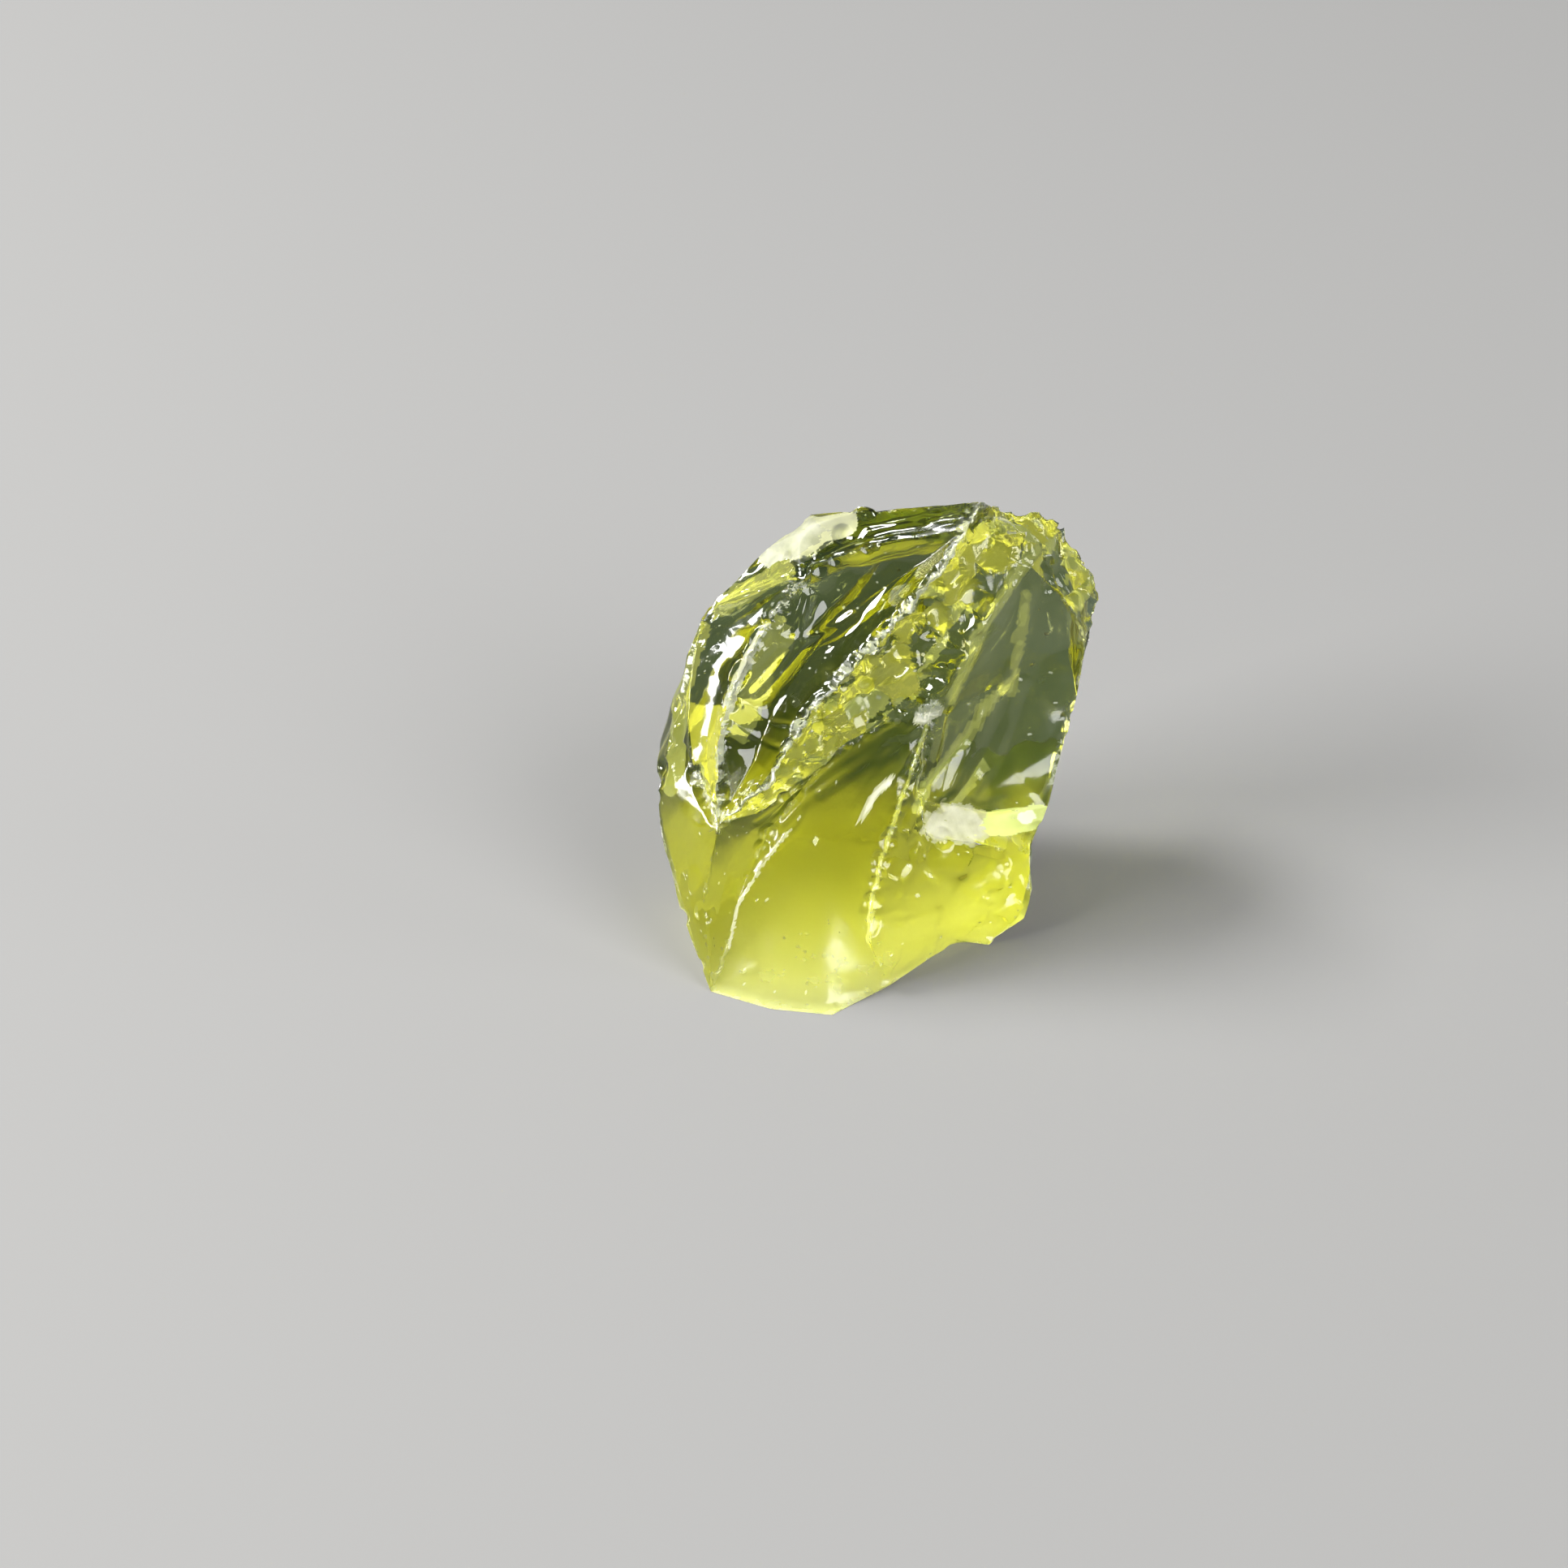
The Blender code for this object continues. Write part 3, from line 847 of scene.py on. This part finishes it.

# %% Veiled lines, and the lines of painted shade (a dark green tint), written the same way
LINES.update({
    "veil": (
        (0.5, 1.10, ((-3.6, 26.5), (-4.8, 23.5), (-6.3, 19.5))),
        (0.7, 0.45, ((14.1, 31.9), (12.7, 30.2), (11.0, 27.7), (9.9, 25.5), (8.2, 21.6))),
        (0.7, 0.40, ((13.2, 28.8), (12.7, 25.5), (12.4, 23.4), (10.5, 21.3),
                     (8.9, 18.8), (6.8, 16.2), (5.8, 14.1))),
        (0.6, 0.50, ((12.4, 24.0), (12.2, 22.2))),
        (0.5, 0.30, ((7.8, 13.8), (10.0, 16.4), (11.0, 18.0))),
        (0.6, 0.18, ((6.8, 20.7), (5.6, 17.2), (4.2, 13.1), (2.9, 8.9), (2.5, 5.0))),
        (0.5, 0.70, ((-9.0, 26.5), (-9.8, 23.8), (-10.5, 20.5), (-10.7, 17.5), (-11.0, 15.5))),
        (0.5, 0.80, ((-7.8, 27.9), (-5.5, 29.3), (-3.2, 30.6))),
    ),
    # painted shade: dark green along the top band and over the shell, where the stone looks dark
    "painted_shade_lines": (
        (1.0, 1.7, ((-1.5, 31.2), (1.5, 32.9), (5.0, 33.6), (9.0, 33.9))),
        (0.5, 3.0, ((-1.5, 26.0), (2.0, 28.0), (4.5, 30.0))),
        (0.4, 2.0, ((-4.5, 19.5), (-1.0, 22.5))),
    ),
})
print("lines:", {name: len(lines) for name, lines in LINES.items()})

# %% Grain for the borders of the masks
SPECKLE_NOISE = (0.5, 41)
DUST_NOISE = (0.22, 42)
DUST_SHARE = 0.6
BLOTCH_NOISE = (1.3, 48)
BLOTCH_SHARES = (0.4, 0.3)
STREAK_NOISE = (1.2, 49)
STREAK_SQUEEZE = (0.3, 1, 1)
speckle = lattice_noise(shaped, *SPECKLE_NOISE) + DUST_SHARE * lattice_noise(shaped, *DUST_NOISE)
blotch = BLOTCH_SHARES[0] * speckle + BLOTCH_SHARES[1] * lattice_noise(shaped, *BLOTCH_NOISE)
streaks = lattice_noise(shaped * STREAK_SQUEEZE, *STREAK_NOISE)
print("speckle lies between", speckle.min().round(2), "and", speckle.max().round(2))

# %% Work out the masks
FROST_NOISE = (1.8, 43)
FROST_WAVER = 0.15
BRUISE_REACH = 0.55
BRUISE_GRAIN = 0.6


def line_mask(name, edge, grain):
    """How strongly each point in sight lies on one of the lines, with a grainy border: 0 to 1."""
    mask = np.zeros(len(points))
    for strength, half_width, stops in LINES[name]:
        share = edge - (line_distance(sight, stops) / half_width) ** 2 + grain
        mask = np.maximum(mask, strength * np.clip(share, 0, 1) * in_sight)
    return mask


frost_waver = FROST_WAVER * lattice_noise(shaped, *FROST_NOISE)
masks = {
    "crumbs": line_mask("crumbs", edge=1.3, grain=0),
    "milk": line_mask("milk", edge=1.2, grain=0.4 * speckle),
    "snow": line_mask("snow", edge=1.1, grain=blotch),
    "glint": line_mask("glint", edge=1.2, grain=0.2 * speckle),
    "veil": line_mask("veil", edge=1.1, grain=blotch),
    "zone": line_mask("painted_shade_lines", edge=1.4, grain=0.5 * streaks),
    "bruise": np.clip(bruise_of - gap / BRUISE_REACH + BRUISE_GRAIN * speckle, 0, 1),
    "frost": np.clip(habit["frost"] + frost_waver * habit["frost"], 0, 1),
}
print("masks:", list(masks))

# %% Add the round spots
BRUISED_EDGE = 1.2
BRUISED_GRAIN = 0.5
FROSTED_EDGE = 1.3


def spot_distance(names, radius):
    """How far each point lies from the middle of the named corners, in radii."""
    middle = np.mean([corners[name] for name in names.split()], axis=0)
    return np.linalg.norm(shaped - middle, axis=1) / radius


for names, (radius, strength) in BRUISED_SPOTS.items():
    away = spot_distance(names, radius)
    grain = BRUISED_GRAIN * speckle * (away < BRUISED_EDGE)
    spot = np.clip(strength * (BRUISED_EDGE - away) + grain, 0, 1)
    masks["bruise"] = np.maximum(masks["bruise"], spot)
for names, (radius, strength) in FROSTED_SPOTS.items():
    spot = strength * np.clip(FROSTED_EDGE - spot_distance(names, radius), 0, 1)
    masks["frost"] = np.maximum(masks["frost"], spot)
for name, mask in masks.items():
    print(name, "is over a half on", round(100 * float((mask > 0.5).mean()), 1), "% of the points")

# %% [markdown]
# ## The ground skin
# The underside and the lowest part of the back are ground dull, and through the clear front they
# show a painted glow. The upper border of that skin wanders along a level line. Faces are either
# dull or clear, so the border would run in steps. The points on it are slid along the surface onto
# the line. The painted glow fades out softly with height, and a value stored on the points carries that.

# %% How high the skin reaches on each scar, and where its painted glow is full and gone: heights in mm
SKIN_TOPS = {
    "back_left_low": dict(full=4.0, gone=11.0, top=40.0),
    "back_low": dict(full=2.5, gone=8.5, top=40.0),
    "back_right_low": dict(full=-0.5, gone=7.0, top=7.4),
    "right_low": dict(full=1.0, gone=5.0, top=5.5),
}
WAVERS = ((0.9, 2.5, 45), (0.4, 1.0, 46))
SLIDE_LIMIT = 0.06
SLIDE_ROUNDS = 3


def above_skin(places, top):
    """How far each place lies above a level line that two noises make wavy, in mm."""
    above = places[:, 2] - top
    for height, size, seed in WAVERS:
        above -= height * lattice_noise(places, size, seed)
    return above


def slide_onto_line(border, top):
    """Move the border points uphill or downhill along the surface until they lie on the line."""
    facing = point_normals(shaped, faces)[border]
    uphill = [0, 0, 1] - facing * facing[:, 2:]
    uphill /= np.linalg.norm(uphill, axis=1, keepdims=True)
    for _ in range(SLIDE_ROUNDS):
        slide = np.clip(-above_skin(shaped[border], top), -SLIDE_LIMIT, SLIDE_LIMIT)
        shaped[border] += uphill * slide[:, None]


print("scars with a ground skin:", list(SKIN_TOPS))

# %% Mark the ground faces and work out the painted glow
FRONT_PAINTED_SHADE = 0.2
FRONT_DEPTH = 4.0
BASE_TOP = 0.01
ground = face_scar == scar_number["base"]
near_front = np.clip(1 - shaped[:, 1] / FRONT_DEPTH, 0, 1)
# painted shade: the glow of the rest face is dimmed towards its front edge
masks["glow"] = 1 - FRONT_PAINTED_SHADE * near_front * (shaped[:, 2] < BASE_TOP)
for name, skin in SKIN_TOPS.items():
    own = np.flatnonzero(face_scar == scar_number[name])
    low = above_skin(shaped[faces[own]].mean(axis=1), skin["top"]) < 0
    ground[own] = low
    border = np.intersect1d(faces[own[low]], faces[own[~low]])
    border = border[~ridge[border]]
    slide_onto_line(border, skin["top"])
    # the painted glow eases from full to gone between its two heights
    members = members_of(name)
    share = (above_skin(shaped[members], skin["gone"]) / (skin["full"] - skin["gone"])).clip(0, 1)
    masks["glow"][members] = np.minimum(masks["glow"][members], share * share * (3 - 2 * share))
    print(name, "ground faces:", int(low.sum()), "border points:", len(border))

# %% [markdown]
# ## The mesh
# The whole arrays go into one mesh, and its sharp edges come from the angle between faces. The
# masks that a material reads are stored on the points, so they follow the shape in every view.

# %% The finished surface as a mesh
SMOOTH_ANGLE = math.radians(50)


def in_scene(name, data):
    """A new object in the scene that holds this mesh, lamp or lens."""
    made = bpy.data.objects.new(name, data)
    bpy.context.scene.collection.objects.link(made)
    return made


def add_piece(name, places, faces):
    """A mesh object at the origin from whole arrays of places (m) and four-sided faces."""
    mesh = bpy.data.meshes.new(name)
    mesh.vertices.add(len(places))
    mesh.vertices.foreach_set("co", places.astype(np.float32).ravel())
    mesh.loops.add(faces.size)
    mesh.loops.foreach_set("vertex_index", faces.astype(np.int32).ravel())
    mesh.polygons.add(len(faces))
    mesh.polygons.foreach_set("loop_start", np.arange(0, faces.size, 4, dtype=np.int32))
    mesh.update(calc_edges=True)
    mesh.shade_smooth()
    mesh.set_sharp_from_angle(angle=SMOOTH_ANGLE)
    return in_scene(name, mesh)


middle = 0.5 * (shaped.min(axis=0) + shaped.max(axis=0))
middle[2] = 0.0
stone = add_piece("prasiolite_stone", (shaped - middle) * MM, faces)
for name in ("frost", "bruise", "glow", "zone"):
    layer = stone.data.attributes.new(name, "FLOAT", "POINT")
    layer.data.foreach_set("value", masks[name].astype(np.float32))
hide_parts("prasiolite")
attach(stone, "root")
print("stone:", len(stone.data.vertices), "points,", 2 * len(stone.data.polygons), "triangles")


# %% [markdown]
# ## Small helpers for materials
# Every material below is a few shader nodes. These helpers place a node and join it up, so that a
# material reads as a list of what it mixes.

# %% Nodes, and how they are filled in and joined
MIX_INPUTS = (0, 6, 7)
MIX_RESULT = 2


def node(tree, kind, **settings):
    """A new shader node with some of its settings and inputs filled in."""
    made = tree.nodes.new(kind)
    for key, value in settings.items():
        if key in made.inputs:
            made.inputs[key].default_value = value
        else:
            setattr(made, key, value)
    return made


def fill(tree, socket, value):
    """Give an input a plain number, a plain colour or another node's output."""
    if isinstance(value, float):
        socket.default_value = value
    elif isinstance(value, tuple):
        socket.default_value = (*value, 1.0)
    else:
        tree.links.new(value, socket)


def mixed(tree, share, first, second):
    """The first colour where the share is 0 and the second where it is 1."""
    mix = node(tree, "ShaderNodeMix", data_type="RGBA")
    for number, value in zip(MIX_INPUTS, (share, first, second)):
        fill(tree, mix.inputs[number], value)
    return mix.outputs[MIX_RESULT]


def worked(tree, operation, *terms, clamp=False):
    """The result of a Math node."""
    maths = node(tree, "ShaderNodeMath", operation=operation, use_clamp=clamp)
    for number, term in enumerate(terms):
        fill(tree, maths.inputs[number], term)
    return maths.outputs[0]


print("a colour mix takes its share, first and second colour at inputs", MIX_INPUTS)

# %% Stored values, noise and bump
BUMP_DEPTH = 0.1 * MM


def stored(tree, name):
    """The value that the mesh stores on its points under this name."""
    return node(tree, "ShaderNodeAttribute", attribute_name=name).outputs["Fac"]


def noise(tree, scale, detail):
    """Smooth noise fixed to the piece: about this many spots to the metre, with finer detail in them."""
    cloud = node(tree, "ShaderNodeTexNoise", Scale=scale, Detail=detail)
    tree.links.new(node(tree, "ShaderNodeTexCoord").outputs["Object"], cloud.inputs["Vector"])
    return cloud.outputs["Fac"]


def bump(tree, shader, height, strength):
    """Tilt the shader's normal by a height map of this strength."""
    tilt = node(tree, "ShaderNodeBump", Strength=strength, Distance=BUMP_DEPTH)
    tree.links.new(height, tilt.inputs["Height"])
    tree.links.new(tilt.outputs["Normal"], shader.inputs["Normal"])


print("bump depth, mm:", round(BUMP_DEPTH / MM, 3))

# %% Every material starts the same way
QUARTZ_IOR = 1.544


def new_material(name, values):
    """A material, its tree and its shader, with these values on the shader's own inputs."""
    material = bpy.data.materials.new(name)
    material.use_nodes = True
    shader = material.node_tree.nodes["Principled BSDF"]
    for key, value in values.items():
        shader.inputs[key].default_value = value
    return material, material.node_tree, shader


def plain_quartz(name, through):
    """A material of plain quartz that lets this share of the light through."""
    return new_material(name, {"IOR": QUARTZ_IOR, "Metallic": 0.0, "Transmission Weight": through})


print("refraction of quartz:", QUARTZ_IOR)

# %% [markdown]
# ## Clear quartz
# Quartz is clear all through, and its colour comes from the depth of stone that the light crosses:
# thin edges are pale and thick parts are deep. So that colour is not painted on. The surface is plain
# clear glass with the refraction of quartz, and the inside absorbs blue strongly and red and green
# a little. Frosted scars and bruises only raise the roughness and the bump. Along the top band, and
# more faintly over the shell, the surface has a dark green tint: painted shade, where the stone looks dark.

# %% Clear quartz
ABSORB_COLOUR = (0.905, 0.90, 0.38)
ABSORB_PER_METRE = 118.0
FAINT_TINTS = ((0.93, 0.97, 0.84), (1.0, 1.0, 0.95))
PAINTED_SHADE_GREEN = (0.07, 0.11, 0.07)
TINT_CLOUD = (180.0, 3.0)
FROST_CLOUD = (900.0, 4.0)
GRIT_CLOUD = (2600.0, 5.0)
CLEAR_ROUGHNESS = 0.01
FROST_ROUGHNESS = 0.9
BRUISE_ROUGHNESS = 0.6
FROST_BUMP = 0.5


def clear_quartz():
    """Clear glass that absorbs inside. Frost and bruise roughen it, and the painted shade mask tints it
    dark green.
    """
    material, tree, shader = plain_quartz("clear_quartz", 1.0)
    ramp = node(tree, "ShaderNodeValToRGB")
    for element, colour in zip(ramp.color_ramp.elements, FAINT_TINTS):
        element.color = (*colour, 1.0)
    tree.links.new(noise(tree, *TINT_CLOUD), ramp.inputs["Fac"])
    # painted shade: a dark green tint where the painted shade mask is 1
    tinted = mixed(tree, stored(tree, "zone"), ramp.outputs["Color"], PAINTED_SHADE_GREEN)
    tree.links.new(tinted, shader.inputs["Base Color"])
    patchy = worked(tree, "MULTIPLY", stored(tree, "frost"), noise(tree, *FROST_CLOUD))
    frosted = worked(tree, "MULTIPLY_ADD", patchy, FROST_ROUGHNESS, CLEAR_ROUGHNESS)
    bruised = stored(tree, "bruise")
    rough = worked(tree, "MULTIPLY_ADD", bruised, BRUISE_ROUGHNESS, frosted, clamp=True)
    tree.links.new(rough, shader.inputs["Roughness"])
    bump(tree, shader, worked(tree, "MULTIPLY", noise(tree, *GRIT_CLOUD), rough), FROST_BUMP)
    inside = node(tree, "ShaderNodeVolumeAbsorption")
    inside.inputs["Color"].default_value = (*ABSORB_COLOUR, 1.0)
    inside.inputs["Density"].default_value = ABSORB_PER_METRE
    tree.links.new(inside.outputs["Volume"], tree.nodes["Material Output"].inputs["Volume"])
    return material


stone.data.materials.append(clear_quartz())
print("nodes in clear quartz:", len(stone.data.materials[0].node_tree.nodes))

# %% [markdown]
# ## Crushed quartz
# Where quartz is full of tiny cracks it scatters light like snow, and only some of it gets through.
# Modelling the cracks is hopeless at this scale, so the surface itself does it: a lower transmission
# weight, a grainy colour and a grainy roughness. The grain is a node group with named inputs,
# because all the crushed finishes use it, each with its own colours.

# %% The grain that all crushed finishes share
GRAIN_CLOUD = (1100.0, 6.0)
GRAIN_SOCKETS = {
    "INPUT": {"Dull": "Color", "Bright": "Color", "Smoothest": "Float", "Roughest": "Float"},
    "OUTPUT": {"Color": "Color", "Roughness": "Float", "Height": "Float"},
}


def crushed_grain():
    """A node group of fine cloudy grain: a colour between Dull and Bright, a roughness and a height."""
    group = bpy.data.node_groups.new("crushed_grain", "ShaderNodeTree")
    for side, sockets in GRAIN_SOCKETS.items():
        for name, kind in sockets.items():
            group.interface.new_socket(name, in_out=side, socket_type="NodeSocket" + kind)
    link = group.links.new
    given = node(group, "NodeGroupInput")
    made = node(group, "NodeGroupOutput")
    cloud = noise(group, *GRAIN_CLOUD)
    link(mixed(group, cloud, given.outputs["Dull"], given.outputs["Bright"]), made.inputs["Color"])
    rough = node(group, "ShaderNodeMapRange")
    link(cloud, rough.inputs["Value"])
    link(given.outputs["Smoothest"], rough.inputs["To Min"])
    link(given.outputs["Roughest"], rough.inputs["To Max"])
    link(rough.outputs["Result"], made.inputs["Roughness"])
    link(cloud, made.inputs["Height"])
    return group


GRAIN = crushed_grain()
print("grain group:", [socket.name for socket in GRAIN.interface.items_tree])

# %% Crushed quartz: how much it lets through, its dull and bright colours, and its roughness
CRUSHED_BUMP = 0.4


def crushed_quartz(name, through, dull, bright, smoothest=0.35, roughest=0.7):
    """Quartz full of tiny cracks: it scatters light like snow, and some gets through."""
    material, tree, shader = plain_quartz(name, through)
    grain = node(tree, "ShaderNodeGroup", node_tree=GRAIN, Smoothest=smoothest, Roughest=roughest)
    grain.inputs["Dull"].default_value = (*dull, 1.0)
    grain.inputs["Bright"].default_value = (*bright, 1.0)
    tree.links.new(grain.outputs["Color"], shader.inputs["Base Color"])
    tree.links.new(grain.outputs["Roughness"], shader.inputs["Roughness"])
    bump(tree, shader, grain.outputs["Height"], CRUSHED_BUMP)
    return material


CRUSHED = {
    "bruised": (0.78, (0.70, 0.74, 0.44), (0.96, 0.97, 0.80), 0.05, 0.45),
    "milky": (0.45, (0.12, 0.13, 0.07), (0.60, 0.60, 0.46)),
    # partly painted light: a crumbled texture whose bright yellow paints the glow of light coming through
    "crumbled": (0.80, (0.85, 0.80, 0.03), (0.98, 0.95, 0.12), 0.02, 0.20),
    "veiled": (0.70, (0.50, 0.50, 0.32), (0.72, 0.72, 0.54)),
    "snowy": (0.30, (0.35, 0.35, 0.20), (0.88, 0.87, 0.72)),
    "lime": (0.78, (0.62, 0.66, 0.10), (0.86, 0.88, 0.24), 0.02, 0.30),
    # painted highlight: the hot spot's core and its glowing ring
    "glint": (0.20, (0.85, 0.95, 0.55), (1.00, 1.00, 0.92)),
    "glowing": (0.50, (0.70, 0.82, 0.16), (0.90, 0.97, 0.40)),
    "faint": (0.90, (0.80, 0.80, 0.12), (0.95, 0.95, 0.25), 0.01, 0.12),
}
for name, values in CRUSHED.items():
    stone.data.materials.append(crushed_quartz(name + "_quartz", *values))
print("crushed finishes:", list(CRUSHED))

# %% [markdown]
# ## The ground skin's material
# The dull ground face does two jobs. From outside it is a frosted yellow-green, darkened by painted
# shade where the glow is gone. From within, through the clear front, it is a screen that catches the
# light which came down through the stone, and its colour adds painted light: near white where the glow
# is full and dark where it is gone, for the glow in the lower half. Geometry's Backfacing tells the two
# sides apart, and the stored glow value fades the painted screen out with height.

# %% The ground skin
# painted shade: the skin's outside colour where the glow is gone
SKIN_PAINTED_SHADE = (0.10, 0.11, 0.03)
SKIN_DULL = (0.26, 0.26, 0.05)
SKIN_BRIGHT = (0.42, 0.42, 0.11)
SKIN_ROUGHNESS = (0.3, 0.55)
# painted shade and painted light: the skin's inside colour where the glow is gone and where it is full
PAINTED_SHADE_WITHIN = (0.095, 0.140, 0.065)
PAINTED_GLOW_WITHIN = (0.98, 0.98, 0.40)


def ground_quartz():
    """Frosted from outside, with painted shade where the glow is 0. From within it is painted light: bright
    where the glow is 1 and dark where it is 0.
    """
    material = crushed_quartz("ground_quartz", 0.0, SKIN_DULL, SKIN_BRIGHT, *SKIN_ROUGHNESS)
    tree = material.node_tree
    colour = tree.nodes["Principled BSDF"].inputs["Base Color"]
    glow = stored(tree, "glow")
    outside = mixed(tree, glow, SKIN_PAINTED_SHADE, colour.links[0].from_socket)
    within = mixed(tree, glow, PAINTED_SHADE_WITHIN, PAINTED_GLOW_WITHIN)
    from_within = node(tree, "ShaderNodeNewGeometry").outputs["Backfacing"]
    tree.links.new(mixed(tree, from_within, outside, within), colour)
    return material


stone.data.materials.append(ground_quartz())
print("finishes:", [material.name for material in stone.data.materials])

# %% [markdown]
# ## Give each face its finish
# A face has one material, so the masks decide face by face, and later lines win over earlier ones.
# Each zone has a core and a fainter ring round it, so that it doesn't end in a hard line. In the
# crumbled band every shard draws its own lot, so a whole shard is either clear, lime or yellow.

# %% Choose each face's finish
SPECKS = 450
SPECK_SEED = 8
LOT_SEED = 7
BORDER_WAVER = 0.15
CRUMBLED_GLOW_SHARE = 0.78
LEAST_BRUISED = 0.35
BRUISED_LUCK = 0.6
slot_of = {material.name: slot for slot, material in enumerate(stone.data.materials)}
on_face = {name: mask[faces].mean(axis=1) for name, mask in masks.items()}
uneven = BORDER_WAVER * speckle[faces].mean(axis=1)
shard_lot = shard_draw[faces[:, 0]]
bruise_lot = np.random.default_rng(LOT_SEED).uniform(0, 1, len(faces))
specks = np.random.default_rng(SPECK_SEED).choice(len(faces), SPECKS, replace=False)
finish = np.zeros(len(faces), dtype=np.int32)
for chosen, name in (
    (on_face["milk"] > 0.20 + uneven, "veiled"),
    (on_face["milk"] > 0.55 + uneven, "milky"),
    # partly painted glow: the crumbled band and its bright yellow
    (on_face["crumbs"] > shard_lot, "lime"),
    (CRUMBLED_GLOW_SHARE * on_face["crumbs"] > shard_lot, "crumbled"),
    (on_face["veil"] > 0.20, "faint"),
    (on_face["veil"] > 0.55, "lime"),
    (on_face["snow"] > 0.15, "veiled"),
    (on_face["snow"] > 0.50, "snowy"),
    # painted highlight: the hot spot's ring, then its core
    (on_face["glint"] > 0.20, "glowing"),
    (on_face["glint"] > 0.70, "glint"),
    (on_face["bruise"] > LEAST_BRUISED + BRUISED_LUCK * bruise_lot, "bruised"),
    (specks, "bruised"),
    # the ground skin, which carries the painted glow
    (ground, "ground"),
):
    finish[chosen] = slot_of[name + "_quartz"]
stone.data.polygons.foreach_set("material_index", finish)
counts = np.bincount(finish)
print("faces of each finish:", {name: int(counts[slot]) for name, slot in slot_of.items()})

# %% [markdown]
# ## Floor
# The floor is plain and pale. A clear stone shows what lies behind it, and over a pale floor the
# stone's dark upper half would turn pale too. So the floor looks dark to a ray that has passed
# through the stone, and pale to every other ray: Light Path tells them apart. A little air is left
# under the stone, as there is under any real one.

# %% The floor
FLOOR_GAP = 0.02 * MM
FLOOR_HALF = 1.5
FLOOR_COLOUR = (0.20, 0.198, 0.193)
FLOOR_THROUGH = (0.026, 0.038, 0.020)
FLOOR_FINISH = {"Roughness": 0.9, "Specular IOR Level": 0.2}


def pale_floor():
    """A large flat square just below the stone, pale from the air and dark through the stone."""
    turns = ((-1, -1), (1, -1), (1, 1), (-1, 1))
    ring = np.array([(x * FLOOR_HALF, y * FLOOR_HALF, -FLOOR_GAP) for x, y in turns])
    floor = add_piece("floor", ring, np.array([[0, 1, 2, 3]]))
    material, tree, shader = new_material("pale_floor", FLOOR_FINISH)
    through_stone = node(tree, "ShaderNodeLightPath").outputs["Is Transmission Ray"]
    shade = mixed(tree, through_stone, FLOOR_COLOUR, FLOOR_THROUGH)
    tree.links.new(shade, shader.inputs["Base Color"])
    floor.data.materials.append(material)
    return floor


pale_floor()
print("floor side, m:", 2 * FLOOR_HALF)

# %% [markdown]
# ## Light
# The light is soft: a large softbox high at the left and a little behind, one low at the left that
# the corner facets mirror, a weak one at the right, and a broad one in front at the upper right,
# with a dim even fill from all round. Glass shows its lights as mirror images, so their places and
# sizes were chosen by the highlights that the scars should have.

# %% Softboxes: place (m), side (m) and power (W)
SOFTBOXES = {
    "key_softbox": ((-0.44, 0.24, 0.62), 0.25, 9.4),
    "left_softbox": ((-0.58, -0.16, 0.28), 0.30, 8.0),
    "right_softbox": ((0.55, -0.06, 0.19), 0.20, 0.8),
    "front_softbox": ((0.54, -0.52, 0.60), 0.60, 9.8),
}
TARGET = np.array([0.0, 0.0, 0.015])
FILL_COLOUR = (0.9, 0.95, 1.0)
FILL_STRENGTH = 0.2


def softbox(name, place, side, power):
    """A square area light at a place, turned to face the middle of the stone."""
    lamp = bpy.data.lights.new(name, "AREA")
    lamp.shape = "SQUARE"
    lamp.size = side
    lamp.energy = power
    box = in_scene(name, lamp)
    across, along, up = TARGET - place
    tilt = math.atan2(math.hypot(across, along), -up)
    turn = math.atan2(along, across) - math.pi / 2
    box.location = place
    box.rotation_euler = (tilt, 0.0, turn)


for name, values in SOFTBOXES.items():
    softbox(name, *values)
world = bpy.data.worlds.new("studio")
world.use_nodes = True
backdrop = world.node_tree.nodes["Background"]
backdrop.inputs["Color"].default_value = (*FILL_COLOUR, 1.0)
backdrop.inputs["Strength"].default_value = FILL_STRENGTH
bpy.context.scene.world = world
bpy.context.scene.view_settings.view_transform = "Standard"
print("softboxes:", list(SOFTBOXES))

# %% [markdown]
# ## Camera
# The camera stands at the eye that placed the corners. The mesh was centred over the origin, so the
# camera moves by the same amount.

# %% The camera
NEAREST_SEEN = 0.01
lens = bpy.data.cameras.new("camera")
lens.lens = LENS
lens.sensor_width = SENSOR
lens.clip_start = NEAREST_SEEN
camera = in_scene("camera", lens)
camera.location = (EYE - middle) * MM
camera.rotation_euler = (math.pi / 2 - EYE_TILT, 0.0, 0.0)
bpy.context.scene.camera = camera
print("camera at, m:", [round(value, 4) for value in camera.location])
